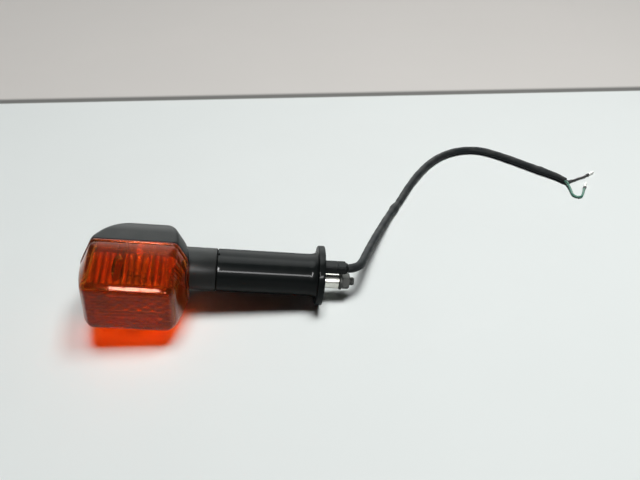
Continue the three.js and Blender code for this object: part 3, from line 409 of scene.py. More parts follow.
def smooth_route(points: list[Vector], count: int) -> np.ndarray:
    """Evenly spaced points on a centripetal curve through the given ones.

    Args:
        points: The points that the curve passes.
        count: How many to return.

    Returns:
        The points, one row each.
    """
    given = np.array([tuple(p) for p in points], float)
    padded = np.vstack([2 * given[0] - given[1], given, 2 * given[-1] - given[-2]])
    fine = []
    for a, b, c, d in zip(padded, padded[1:], padded[2:], padded[3:]):
        t0 = 0.0
        t1 = t0 + np.linalg.norm(b - a) ** 0.5
        t2 = t1 + np.linalg.norm(c - b) ** 0.5
        t3 = t2 + np.linalg.norm(d - c) ** 0.5
        for t in np.linspace(t1, t2, 24, endpoint=False):
            p = (t1 - t) / (t1 - t0) * a + (t - t0) / (t1 - t0) * b
            q = (t2 - t) / (t2 - t1) * b + (t - t1) / (t2 - t1) * c
            r = (t3 - t) / (t3 - t2) * c + (t - t2) / (t3 - t2) * d
            u = (t2 - t) / (t2 - t0) * p + (t - t0) / (t2 - t0) * q
            v = (t3 - t) / (t3 - t1) * q + (t - t1) / (t3 - t1) * r
            fine.append((t2 - t) / (t2 - t1) * u + (t - t1) / (t2 - t1) * v)
    fine.append(given[-1])
    line = np.array(fine)
    run = np.concatenate([[0], np.cumsum(np.linalg.norm(np.diff(line, axis=0), axis=1))])
    wanted = np.linspace(0, run[-1], count)
    return np.column_stack([np.interp(wanted, run, line[:, k]) for k in range(3)])


def swept_rings(line: np.ndarray, radii: np.ndarray, sides: int) -> list[np.ndarray]:
    """Round sections along a line, turned as little as possible from one to the next.

    Args:
        line: The centreline.
        radii: The radius at each of its points.
        sides: Sides of the round.

    Returns:
        One ring for each point.
    """
    ahead = np.gradient(line, axis=0)
    ahead /= np.linalg.norm(ahead, axis=1)[:, None]
    side = np.cross(ahead[0], [0, 0, 1])
    side = side if np.linalg.norm(side) > 0.1 else np.cross(ahead[0], [0, 1, 0])
    angles = np.linspace(0, 2 * math.pi, sides, endpoint=False)
    rings = []
    for point, heading, radius in zip(line, ahead, radii):
        side = side - heading * np.dot(side, heading)
        side /= np.linalg.norm(side)
        other = np.cross(heading, side)
        spread = np.cos(angles)[:, None] * side + np.sin(angles)[:, None] * other
        rings.append(point + radius * spread)
    return rings


# ---------------------------------------------------------------- node trees


class Wiring:
    """Adds the nodes of one tree and joins them."""

    def __init__(self, tree: bpy.types.NodeTree) -> None:
        """Takes the tree on."""
        self.tree = tree

    @classmethod
    def group(cls, name: str, kind: str) -> "Wiring":
        """The wiring of a new group."""
        return cls(bpy.data.node_groups.new(name, kind))

    def socket(self, name: str, kind: str, value: object = None, into: bool = True) -> str:
        """Adds a named socket to the group.

        Args:
            name: The socket's name.
            kind: What it carries, such as Float.
            value: Its usual value.
            into: Whether it is an input.

        Returns:
            Its identifier.
        """
        made = self.tree.interface.new_socket(
            name=name, in_out="INPUT" if into else "OUTPUT", socket_type=f"NodeSocket{kind}")
        if value is not None:
            made.default_value = value
        return made.identifier

    def feed(self, node: bpy.types.Node, inputs: dict) -> None:
        """Gives a node's inputs their values, or joins them to outputs.

        Args:
            node: The node.
            inputs: A value or an output for each input, by the input's name or number.
        """
        for socket, value in inputs.items():
            if isinstance(value, bpy.types.NodeSocket):
                self.tree.links.new(value, node.inputs[socket])
            else:
                node.inputs[socket].default_value = value

    def add(self, kind: str, inputs: dict | None = None, **settings: object) -> bpy.types.Node:
        """Adds a node.

        Args:
            kind: Its type.
            inputs: What its inputs get, as for feed.
            settings: Its own settings, such as its operation.

        Returns:
            The node.
        """
        made = self.tree.nodes.new(kind)
        for name, value in settings.items():
            setattr(made, name, value)
        self.feed(made, inputs or {})
        return made

    def math(self, operation: str, *values: object) -> bpy.types.NodeSocket:
        """The outcome of a sum on outputs or numbers."""
        return self.add("ShaderNodeMath", dict(enumerate(values)), operation=operation).outputs[0]


class ShaderGroups:
    """The shader groups that more than one finish uses, each built once."""

    def __init__(self) -> None:
        """Builds the four groups."""
        self.grain = self._grain()
        self.dust = self._dust()
        self.scuffs = self._scuffs()
        self.machined = self._machined()

    @staticmethod
    def _grain() -> bpy.types.NodeTree:
        """Fine grain with slow mottling of colour and gloss.

        Returns:
            The group.
        """
        wires = Wiring.group("surface_grain", "ShaderNodeTree")
        wires.socket("Color", "Color", (0.5, 0.5, 0.5, 1))
        for name, value in (("Grain", 2500.0), ("Mottle", 60.0), ("Shade", 0.2),
                            ("Roughness", 0.4), ("Spread", 0.1)):
            wires.socket(name, "Float", value)
        for name, kind in (("Color", "Color"), ("Roughness", "Float"), ("Height", "Float")):
            wires.socket(name, kind, into=False)
        start = wires.add("NodeGroupInput").outputs
        where = wires.add("ShaderNodeTexCoord").outputs["Object"]
        fine, slow = (
            wires.add("ShaderNodeTexNoise", {"Vector": where, "Scale": start[scale],
                                             "Detail": detail})
            for scale, detail in (("Grain", 3), ("Mottle", 4)))
        centred = wires.math("SUBTRACT", slow.outputs[0], 0.5)
        shade = wires.math("MULTIPLY_ADD", centred, start["Shade"], 1.0)
        tint = wires.add("ShaderNodeVectorMath", {0: start["Color"], "Scale": shade},
                         operation="SCALE")
        gloss = wires.math("MULTIPLY_ADD", centred, start["Spread"], start["Roughness"])
        wires.add("NodeGroupOutput", {"Color": tint.outputs[0], "Roughness": gloss,
                                      "Height": fine.outputs[0]})
        return wires.tree

    @staticmethod
    def _masking(name: str, size: tuple[str, float]) -> tuple[Wiring,
                                                              bpy.types.bpy_prop_collection]:
        """Starts a group that lays a mark over a finish.

        Args:
            name: The group's name.
            size: Name and usual value of the input that scales the marks.

        Returns:
            The group's wiring and its inputs.
        """
        wires = Wiring.group(name, "ShaderNodeTree")
        for socket, kind, value in (
            ("Color", "Color", (0.5, 0.5, 0.5, 1)), ("Roughness", "Float", 0.4),
            ("Mark", "Color", (0.6, 0.58, 0.52, 1)), ("Amount", "Float", 0.2),
            (size[0], "Float", size[1]),
        ):
            wires.socket(socket, kind, value)
        for socket, kind in (("Color", "Color"), ("Roughness", "Float")):
            wires.socket(socket, kind, into=False)
        return wires, wires.add("NodeGroupInput").outputs

    @staticmethod
    def _mark(wires: Wiring, start: bpy.types.bpy_prop_collection,
              mask: bpy.types.NodeSocket) -> bpy.types.NodeTree:
        """Ends such a group.

        Args:
            wires: The group's wiring.
            start: Its inputs.
            mask: Where the marks lie.

        Returns:
            The group.
        """
        amount = wires.add("ShaderNodeMath", {0: mask, 1: start["Amount"]},
                           operation="MULTIPLY", use_clamp=True).outputs[0]
        color = wires.add("ShaderNodeMix", {0: amount, 6: start["Color"], 7: start["Mark"]},
                          data_type="RGBA")
        rough = wires.add("ShaderNodeMix", {0: amount, 2: start["Roughness"], 3: 0.8})
        wires.add("NodeGroupOutput", {"Color": color.outputs[2], "Roughness": rough.outputs[0]})
        return wires.tree

    def _dust(self) -> bpy.types.NodeTree:
        """Dust that lies in patches on what faces up.

        Returns:
            The group.
        """
        wires, start = self._masking("settled_dust", ("Patches", 90.0))
        where = wires.add("ShaderNodeTexCoord").outputs["Object"]
        noise = wires.add("ShaderNodeTexNoise",
                          {"Vector": where, "Scale": start["Patches"], "Detail": 6})
        normal = wires.add("ShaderNodeNewGeometry").outputs["Normal"]
        parts = wires.add("ShaderNodeSeparateXYZ", {0: normal})
        up = wires.add("ShaderNodeMapRange", {"Value": parts.outputs["Z"], "From Min": 0.1})
        patch = wires.add("ShaderNodeMapRange",
                          {"Value": noise.outputs[0], "From Min": 0.42, "From Max": 0.72})
        return self._mark(wires, start, wires.math("MULTIPLY", up.outputs[0], patch.outputs[0]))

    def _scuffs(self) -> bpy.types.NodeTree:
        """Thin pale scuffs, all over but sparse.

        Returns:
            The group.
        """
        wires, start = self._masking("scuffs", ("Length", 40.0))
        where = wires.add("ShaderNodeTexCoord").outputs["Object"]
        stretch = wires.add("ShaderNodeMapping", {"Vector": where, "Scale": (1, 14, 10),
                                                  "Rotation": (0.2, 0.5, 0.3)})
        noise = wires.add("ShaderNodeTexNoise", {"Vector": stretch.outputs[0], "Detail": 5,
                                                 "Scale": start["Length"], "Roughness": 0.7})
        thin = wires.add("ShaderNodeMapRange",
                         {"Value": noise.outputs[0], "From Min": 0.62, "From Max": 0.7})
        return self._mark(wires, start, thin.outputs[0])

    @staticmethod
    def _machined() -> bpy.types.NodeTree:
        """Tool marks round an axis, as a height.

        Returns:
            The group.
        """
        wires = Wiring.group("tool_marks", "ShaderNodeTree")
        wires.socket("Axis", "Vector", (1.0, 0.0, 0.0))
        wires.socket("Marks", "Float", 9000.0)
        wires.socket("Height", "Float", into=False)
        start = wires.add("NodeGroupInput").outputs
        where = wires.add("ShaderNodeTexCoord").outputs["Object"]
        along = wires.add("ShaderNodeVectorMath", {0: where, 1: start["Axis"]},
                          operation="DOT_PRODUCT")
        line = wires.add("ShaderNodeCombineXYZ", {"X": along.outputs["Value"]})
        noise = wires.add("ShaderNodeTexNoise", {"Vector": line.outputs[0], "Detail": 2,
                                                 "Scale": start["Marks"]})
        wires.add("NodeGroupOutput", {"Height": noise.outputs[0]})
        return wires.tree


GROUPS = ShaderGroups()


# ---------------------------------------------------------------- finishes


DUST: Color = (0.42, 0.4, 0.36, 1)


def shader_of(name: str) -> tuple[bpy.types.Material, Wiring, bpy.types.Node]:
    """Starts a material.

    Args:
        name: Its name.

    Returns:
        The material, its wiring and its shader.
    """
    material = bpy.data.materials.new(name)
    material.use_nodes = True
    return material, Wiring(material.node_tree), material.node_tree.nodes["Principled BSDF"]


@dataclass(frozen=True)
class Finish:
    """An opaque finish with grain, mottling, scuffs and dust.

    Attributes:
        name: Its name.
        color: Its colour.
        roughness: Its mean roughness.
        metallic: 1 for bare metal.
        grain: Grains to the metre.
        depth: Depth of the grain, in metres.
        mottle: Slow patches to the metre.
        shade: How far the patches change the colour.
        spread: How far they change the roughness.
        scuff: Share of the scuffs that show.
        dust: Share of the dust that shows.
        mark: Colour of the scuffs.
        marks: Tool marks to the metre along the stalk, or 0 for none.
        specular: The shader's specular level.
        coat: Weight of a glossy skin.
        coat_roughness: That skin's roughness.
    """

    name: str
    color: Color
    roughness: float
    metallic: float = 0.0
    grain: float = 2600.0
    depth: float = 0.00002
    mottle: float = 70.0
    shade: float = 0.25
    spread: float = 0.1
    scuff: float = 0.15
    dust: float = 0.12
    mark: Color = (0.3, 0.29, 0.27, 1)
    marks: float = 0.0
    specular: float = 0.5
    coat: float = 0.0
    coat_roughness: float = 0.08

    def build(self) -> bpy.types.Material:
        """Makes the material.

        Returns:
            The material.
        """
        material, wires, shader = shader_of(self.name)
        grain = last = wires.add("ShaderNodeGroup", {
            "Color": self.color, "Grain": self.grain, "Mottle": self.mottle, "Shade": self.shade,
            "Roughness": self.roughness, "Spread": self.spread}, node_tree=GROUPS.grain)
        for tree, amount, mark in ((GROUPS.scuffs, self.scuff, self.mark),
                                   (GROUPS.dust, self.dust, DUST)):
            last = wires.add("ShaderNodeGroup", {
                "Amount": amount, "Mark": mark, "Color": last.outputs["Color"],
                "Roughness": last.outputs["Roughness"]}, node_tree=tree)
        height = grain.outputs["Height"]
        if self.marks > 0:
            axis = tuple(LAMP.direction())
            height = wires.add("ShaderNodeGroup", {"Marks": self.marks, "Axis": axis},
                               node_tree=GROUPS.machined).outputs["Height"]
        bump = wires.add("ShaderNodeBump", {"Distance": self.depth, "Strength": 1.0,
                                            "Height": height})
        wires.feed(shader, {
            "Base Color": last.outputs["Color"], "Roughness": last.outputs["Roughness"],
            "Metallic": self.metallic, "Specular IOR Level": self.specular,
            "Coat Weight": self.coat, "Coat Roughness": self.coat_roughness,
            "Normal": bump.outputs[0]})
        return material


@dataclass(frozen=True)
class ClearFinish:
    """A see-through finish.

    Attributes:
        name: Its name.
        color: The colour that it gives light.
        roughness: Its roughness.
        transmission: Share of the light that goes through.
        index: Its index of refraction.
        streaks: How far flow marks change the colour.
    """

    name: str
    color: Color
    roughness: float
    transmission: float
    index: float
    streaks: float = 0.1

    def build(self) -> bpy.types.Material:
        """Makes the material.

        Returns:
            The material.
        """
        material, wires, shader = shader_of(self.name)
        grain = wires.add("ShaderNodeGroup", {
            "Color": self.color, "Grain": 900.0, "Mottle": 45.0, "Shade": self.streaks,
            "Roughness": self.roughness, "Spread": 0.03}, node_tree=GROUPS.grain)
        bump = wires.add("ShaderNodeBump",
                         {"Distance": 0.000004, "Height": grain.outputs["Height"]})
        wires.feed(shader, {
            "Base Color": grain.outputs["Color"], "Roughness": grain.outputs["Roughness"],
            "Transmission Weight": self.transmission, "IOR": self.index, "Normal": bump.outputs[0]})
        return material


@dataclass(frozen=True)
class AmberFinish:
    """The lens's amber plastic, with painted shade in the grooves between its prisms and painted
    light on their crests.

    Attributes:
        lit_crest_color: The painted lit colour on the prisms' crests.
        shaded_groove_color: The painted shade colour between them.
        shadow: The colour of the light that it lets through to the table.
        roughness: Its roughness.
        transmission: Share of the light that goes through.
        index: Its index of refraction.
        sheen: The tint of what it mirrors face on.
        coat: Weight of its clear gloss.
    """

    lit_crest_color: Color = (1.0, 0.3, 0.028, 1)
    shaded_groove_color: Color = (0.13, 0.009, 0.003, 1)
    shadow: Color = (0.78, 0.34, 0.13, 1)
    roughness: float = 0.06
    transmission: float = 0.93
    index: float = 1.36
    sheen: Color = (0.6, 0.12, 0.05, 1)
    coat: float = 0.09

    def build(self) -> bpy.types.Material:
        """Makes the material.

        Returns:
            The material.
        """
        material, wires, shader = shader_of("amber_moulding")
        # Painted light and shade: the base colour mixes a painted shade colour in the grooves with
        # a painted lit colour on the crests, by the kept attribute.
        relief_shade = wires.add("ShaderNodeAttribute", attribute_name="relief_shade")
        tone = wires.add("ShaderNodeMix", {0: relief_shade.outputs["Fac"], 6: self.shaded_groove_color, 7: self.lit_crest_color},
                         data_type="RGBA")
        grain = wires.add("ShaderNodeGroup", {
            "Color": tone.outputs[2], "Grain": 900.0, "Mottle": 45.0, "Shade": 0.12,
            "Roughness": self.roughness, "Spread": 0.04}, node_tree=GROUPS.grain)
        wires.feed(shader, {
            "Base Color": grain.outputs["Color"], "Roughness": grain.outputs["Roughness"],
            "Transmission Weight": self.transmission, "IOR": self.index,
            "Specular Tint": self.sheen, "Coat Weight": self.coat})
        clear = wires.add("ShaderNodeBsdfTransparent", {"Color": self.shadow})
        path = wires.add("ShaderNodeLightPath")
        mix = wires.add("ShaderNodeMixShader",
                        {0: path.outputs["Is Shadow Ray"], 1: shader.outputs[0],
                                                2: clear.outputs[0]})
        wires.feed(wires.tree.nodes["Material Output"], {"Surface": mix.outputs[0]})
        return material


NUT_CENTRE: Point = (16.0, 0.0, -4.0)
LAMP = LampFrame.from_joints(frame["joints"], NUT_CENTRE)


@dataclass(frozen=True)
class Finishes:
    """Every finish of the lamp."""

    amber: AmberFinish = AmberFinish()
    bulb_glass: ClearFinish = ClearFinish("bulb_glass", (0.97, 0.98, 0.98, 1), 0.02, 1.0, 1.5, 0.02)
    housing: Finish = Finish("housing_moulding", (0.015, 0.0165, 0.016, 1), 0.36, grain=3200.0,
                             depth=0.000016, scuff=0.02, dust=0.015, spread=0.06, specular=0.12)
    stalk: Finish = Finish("stalk_moulding", (0.0035, 0.005, 0.005, 1), 0.36, grain=2400.0,
                           depth=0.000005, scuff=0.015, dust=0.01, spread=0.05, specular=0.03,
                           coat=0.14, coat_roughness=0.07)
    block: Finish = Finish("block_moulding", (0.007, 0.0085, 0.009, 1), 0.36, depth=0.00001,
                           scuff=0.06,
                           dust=0.02, specular=0.1)
    seal: Finish = Finish("seal_rubber", (0.02, 0.02, 0.02, 1), 0.7)
    mirror: Finish = Finish("reflector_coat", (0.86, 0.86, 0.85, 1), 0.14, metallic=1.0,
                            depth=0.00001,
                            shade=0.06, scuff=0.03, dust=0.05, grain=1200.0)
    zinc: Finish = Finish("zinc_plate", (0.58, 0.57, 0.54, 1), 0.34, metallic=1.0, scuff=0.25,
                          mark=(0.25, 0.24, 0.2, 1))
    collar: Finish = Finish("turned_steel", (0.66, 0.65, 0.6, 1), 0.22, metallic=1.0, depth=0.00002,
                            marks=9000.0, shade=0.3, mottle=160.0, scuff=0.3,
                            mark=(0.2, 0.18, 0.13, 1))
    dark_steel: Finish = Finish("dark_steel", (0.045, 0.047, 0.043, 1), 0.45, metallic=0.5,
                                depth=0.00003, scuff=0.25, mark=(0.3, 0.29, 0.27, 1), shade=0.5,
                                mottle=240.0)
    brass: Finish = Finish("cap_brass", (0.62, 0.47, 0.2, 1), 0.3, metallic=1.0)
    tungsten: Finish = Finish("filament_wire", (0.25, 0.25, 0.26, 1), 0.4, metallic=1.0)
    solder: Finish = Finish("solder", (0.5, 0.5, 0.5, 1), 0.45, metallic=1.0, depth=0.00006)
    sheath: Finish = Finish("lead_sheath", (0.014, 0.0165, 0.018, 1), 0.42, grain=1800.0,
                            depth=0.00003,
                            scuff=0.2, dust=0.08, shade=0.6, mark=(0.1, 0.1, 0.1, 1), specular=0.08)
    black_wire: Finish = Finish("black_wire", (0.018, 0.018, 0.02, 1), 0.4, dust=0.15)
    green_wire: Finish = Finish("green_wire", (0.03, 0.15, 0.1, 1), 0.4, dust=0.15)
    sleeve: Finish = Finish("crimp_sleeve", (0.03, 0.03, 0.03, 1), 0.45)
    tin: Finish = Finish("tinned_terminal", (0.72, 0.71, 0.68, 1), 0.3, metallic=0.9, scuff=0.2)


# ---------------------------------------------------------------- head's outline


@dataclass(frozen=True)
class Outline:
    """One eight-sided outline of the head.

    Attributes:
        left: Reach to the outboard side.
        right: Reach to the inboard side.
        half: Half its height.
        left_cut: The outboard corners' cuts, along X and Z.
        right_cut: The inboard corners' cuts.
    """

    left: float
    right: float
    half: float
    left_cut: tuple[float, float]
    right_cut: tuple[float, float]


def draw_in(radius: float, past: float) -> float:
    """How far a quarter round has drawn in, a distance past its start."""
    run = min(max(past, 0.0), radius)
    return radius - math.sqrt(radius * radius - run * run)


def blend(low: float, high: float, share: float) -> float:
    """A value between two others."""
    return low + (high - low) * share


@dataclass(frozen=True)
class Head:
    """The head's sizes, in millimetres, and its rings.

    Attributes:
        width: Across its parting plane.
        height: Of its parting plane.
        middle: X of its middle.
        parting: Y of the parting plane.
        back: Y of the housing's back.
        wall: Of the housing.
        cut: The inboard corners' cuts.
        outer_cut: The outboard corners' cuts.
        bend: How far each corner is rounded.
        front_width: Of the lens's front.
        front_height: Of the lens's front.
        front_cut: Its corners' cuts.
        back_round: Radius of the upper and lower back edges.
        outboard_round: Radius of the outboard back edge.
        inboard_draw: How far the inboard side draws in.
        back_cut: The outboard corners' cuts at the back.
        corner_steps: Steps round one corner.
        flat_steps: Steps along each side, from the inboard upper cut round.
    """

    width: float = 68.6
    height: float = 65.0
    middle: float = -124.3
    parting: float = -10.5
    back: float = 18.0
    wall: float = 2.4
    cut: tuple[float, float] = (7.0, 14.0)
    outer_cut: tuple[float, float] = (9.0, 21.0)
    bend: float = 3.2
    front_width: float = 58.0
    front_height: float = 41.0
    front_cut: float = 4.0
    back_round: float = 20.0
    outboard_round: float = 15.0
    inboard_draw: float = 10.0
    back_cut: tuple[float, float] = (26.0, 26.0)
    corner_steps: int = 10
    flat_steps: tuple[int, ...] = (10, 22, 12, 12, 12, 22, 10, 16)

    def ring(self, y: float, outline: Outline, inset: float = 0.0) -> np.ndarray:
        """The points of one outline at a depth.

        Args:
            y: The depth.
            outline: The outline.
            inset: How far inside the outline the ring lies.

        Returns:
            The ring's points.
        """

        def side(reach: float, cut: tuple[float, float], sign: int) -> list[np.ndarray]:
            """The ends of the cut corner on one side.

            Args:
                reach: How far out the side lies.
                cut: How far the corner is cut along X and along Z.
                sign: The sign of X on that side.

            Returns:
                The two ends, as X and Z.
            """
            length = math.hypot(*cut)
            a, b = cut[1] / length, cut[0] / length
            far = a * reach + b * (outline.half - cut[1]) - inset
            x, z = reach - inset, outline.half - inset
            return [
                np.array([sign * x, (far - a * x) / b]),
                np.array([sign * (far - b * z) / a, z]),
            ]

        right_low, right_high = side(outline.right, outline.right_cut, 1)
        left_low, left_high = side(outline.left, outline.left_cut, -1)
        upper = [right_low, right_high, left_high, left_low]
        corners = upper + [p * [1, -1] for p in reversed(upper)]
        bends = []
        for at, corner in enumerate(corners):
            back, on = corners[at - 1] - corner, corners[(at + 1) % 8] - corner
            first, last = np.linalg.norm(back), np.linalg.norm(on)
            start = corner + back / first * min(self.bend, first / 2.2)
            end = corner + on / last * min(self.bend, last / 2.2)
            bends.append((start, corner, end))
        points = []
        for at, (start, corner, end) in enumerate(bends):
            for t in np.linspace(0, 1, self.corner_steps + 1):
                points.append((1 - t) ** 2 * start + 2 * t * (1 - t) * corner + t * t * end)
            after = bends[(at + 1) % 8][0]
            for t in np.linspace(0, 1, self.flat_steps[at] + 1)[1:-1]:
                points.append(end * (1 - t) + after * t)
        flat = np.array(points)
        return np.column_stack([self.middle + flat[:, 0], np.full(len(flat), y), flat[:, 1]])

    def parting_outline(self) -> Outline:
        """The outline at the parting plane."""
        return Outline(self.width / 2, self.width / 2, self.height / 2, self.outer_cut, self.cut)

    def housing_outline(self, y: float) -> Outline:
        """The housing's outline at a depth.

        Args:
            y: The depth.

        Returns:
            The outline.
        """
        share = (y - self.parting) / (self.back - self.parting)
        ramp = min(max(share / 0.9, 0.0), 1.0)
        mix = ramp * ramp * (3 - 2 * ramp)
        half = self.height / 2 - draw_in(self.back_round, y - self.back + self.back_round)
        return Outline(
            self.width / 2 - draw_in(self.outboard_round, y - self.back + self.outboard_round),
            self.width / 2 - self.inboard_draw * share * share,
            half,
            (
                blend(self.outer_cut[0], self.back_cut[0], mix),
                min(blend(self.outer_cut[1], self.back_cut[1], mix), 0.8 * half),
            ),
            (self.cut[0], min(self.cut[1], 0.7 * half)),
        )

    def housing_rings(self, start: float, end: float, inset: float, steps: int) -> list[np.ndarray]:
        """Rings of the housing, closer together towards the back.

        Args:
            start: Y of the first ring.
            end: Y of the last.
            inset: How far inside the surface they lie.
            steps: The spaces between them.

        Returns:
            The rings.
        """
        places = [
            start + (end - start) * math.sin(step / steps * math.pi / 2)
            for step in range(steps + 1)
        ]
        return [self.ring(y, self.housing_outline(y), inset) for y in places]

    def bevel_outline(self, share: float) -> Outline:
        """The lens's outline at a share of the way from its skirt to its front.

        Args:
            share: The share.

        Returns:
            The outline.
        """
        left = (blend(self.outer_cut[0], self.front_cut, share),
                blend(self.outer_cut[1], self.front_cut, share))
        right = (blend(self.cut[0], self.front_cut, share),
                 blend(self.cut[1], self.front_cut, share))
        reach = blend(self.width, self.front_width, share) / 2
        return Outline(reach, reach, blend(self.height, self.front_height, share) / 2, left, right)


HEAD = Head()
FINE_HEAD = Head(corner_steps=6, flat_steps=(28, 112, 38, 42, 38, 112, 28, 62))


# ---------------------------------------------------------------- lens


class PrismTree:
    """A Geometry Nodes tree that raises flutes, ribs and cells on the lens's inner faces and keeps
    their painted light and shade.
    """

    def __init__(self, material: bpy.types.Material) -> None:
        """Builds the tree.

        Args:
            material: What the result is made of.
        """
        self.wires = wires = Wiring.group("lens_prisms", "GeometryNodeTree")
        wires.socket("Geometry", "Geometry")
        self.sockets = {name: wires.socket(name, "Float", value) for name, value in (
            ("Flute Pitch", 5.1), ("Flute Depth", 0.9), ("Rib Pitch", 2.8), ("Rib Depth", 0.6),
            ("Cell Width", 8.1), ("Cell Height", 2.8), ("Cell Depth", 0.5))}
        wires.socket("Geometry", "Geometry", into=False)
        start = wires.add("NodeGroupInput").outputs
        position = wires.add("GeometryNodeInputPosition").outputs[0]
        x, y, z = wires.add("ShaderNodeSeparateXYZ", {0: position}).outputs
        rows = wires.math("DIVIDE", z, start["Cell Height"])
        odd = wires.math("FLOORED_MODULO", wires.math("FLOOR", rows), 2.0)
        columns = wires.math("DIVIDE", x, start["Cell Width"])
        across = self._bulge(wires.math("ADD", columns, wires.math("MULTIPLY", odd, 0.5)))
        total = groove_shade = None
        for mask, depth, relief_shade in (
            ("on_bevel", "Flute Depth", self._bulge(wires.math("DIVIDE", x, start["Flute Pitch"]))),
            ("on_side", "Rib Depth", self._bulge(wires.math("DIVIDE", y, start["Rib Pitch"]))),
            ("on_front", "Cell Depth", wires.math("MULTIPLY", across, self._bulge(rows))),
        ):
            where = self._named(mask)
            part = wires.math("MULTIPLY", wires.math("MULTIPLY", start[depth], relief_shade), where)
            lack = wires.math("MULTIPLY", wires.math("SUBTRACT", 1.0, relief_shade), where)
            total = part if total is None else wires.math("ADD", total, part)
            groove_shade = lack if groove_shade is None else wires.math("ADD", groove_shade, lack)
        # Painted shade: the colour is darkened in the grooves and left bright on the crests, stored
        # as an attribute for the lens's colour.
        left = wires.math("SUBTRACT", 1.0, wires.math("MULTIPLY", groove_shade, 0.9))
        keep = wires.add("GeometryNodeStoreNamedAttribute", {
            "Geometry": start["Geometry"], "Name": "relief_shade",
            "Value": wires.math("MULTIPLY", self._named("tone"), left),
        }, data_type="FLOAT", domain="POINT")
        normal = wires.add("GeometryNodeInputNormal").outputs[0]
        offset = wires.add("ShaderNodeVectorMath", {0: normal, "Scale": total}, operation="SCALE")
        move = wires.add("GeometryNodeSetPosition",
                         {"Geometry": keep.outputs[0], "Offset": offset.outputs[0]})
        real = wires.add("GeometryNodeRealizeInstances", {0: move.outputs[0]})
        dress = wires.add("GeometryNodeSetMaterial",
                          {"Geometry": real.outputs[0], "Material": material})
        wires.add("NodeGroupOutput", {0: dress.outputs[0]})

    def _named(self, name: str) -> bpy.types.NodeSocket:
        """A number kept on the mesh's points."""
        return self.wires.add("GeometryNodeInputNamedAttribute", {"Name": name},
                              data_type="FLOAT").outputs[0]

    def _bulge(self, turns: bpy.types.NodeSocket) -> bpy.types.NodeSocket:
        """A round ridge for each whole number, 0 between them and 1 on top.

        Args:
            turns: The place, in ridges.

        Returns:
            The ridge's height.
        """
        math_of = self.wires.math
        away = math_of("ABSOLUTE", math_of("SUBTRACT", math_of("FRACT", turns), 0.5))
        flat = math_of("MULTIPLY", away, 2.0)
        return math_of("SUBTRACT", 1.0, math_of("MULTIPLY", flat, flat))

    def apply(self, piece: bpy.types.Object, values: dict[str, float]) -> bpy.types.Mesh:
        """Runs the tree on a piece.

        Args:
            piece: The piece.
            values: Values of the tree's inputs, by name.

        Returns:
            The plain mesh that comes out.
        """
        modifier = piece.modifiers.new("prisms", "NODES")
        modifier.node_group = self.wires.tree
        for name, value in values.items():
            modifier[self.sockets[name]] = value
        made = evaluated(piece)
        piece.modifiers.clear()
        return made


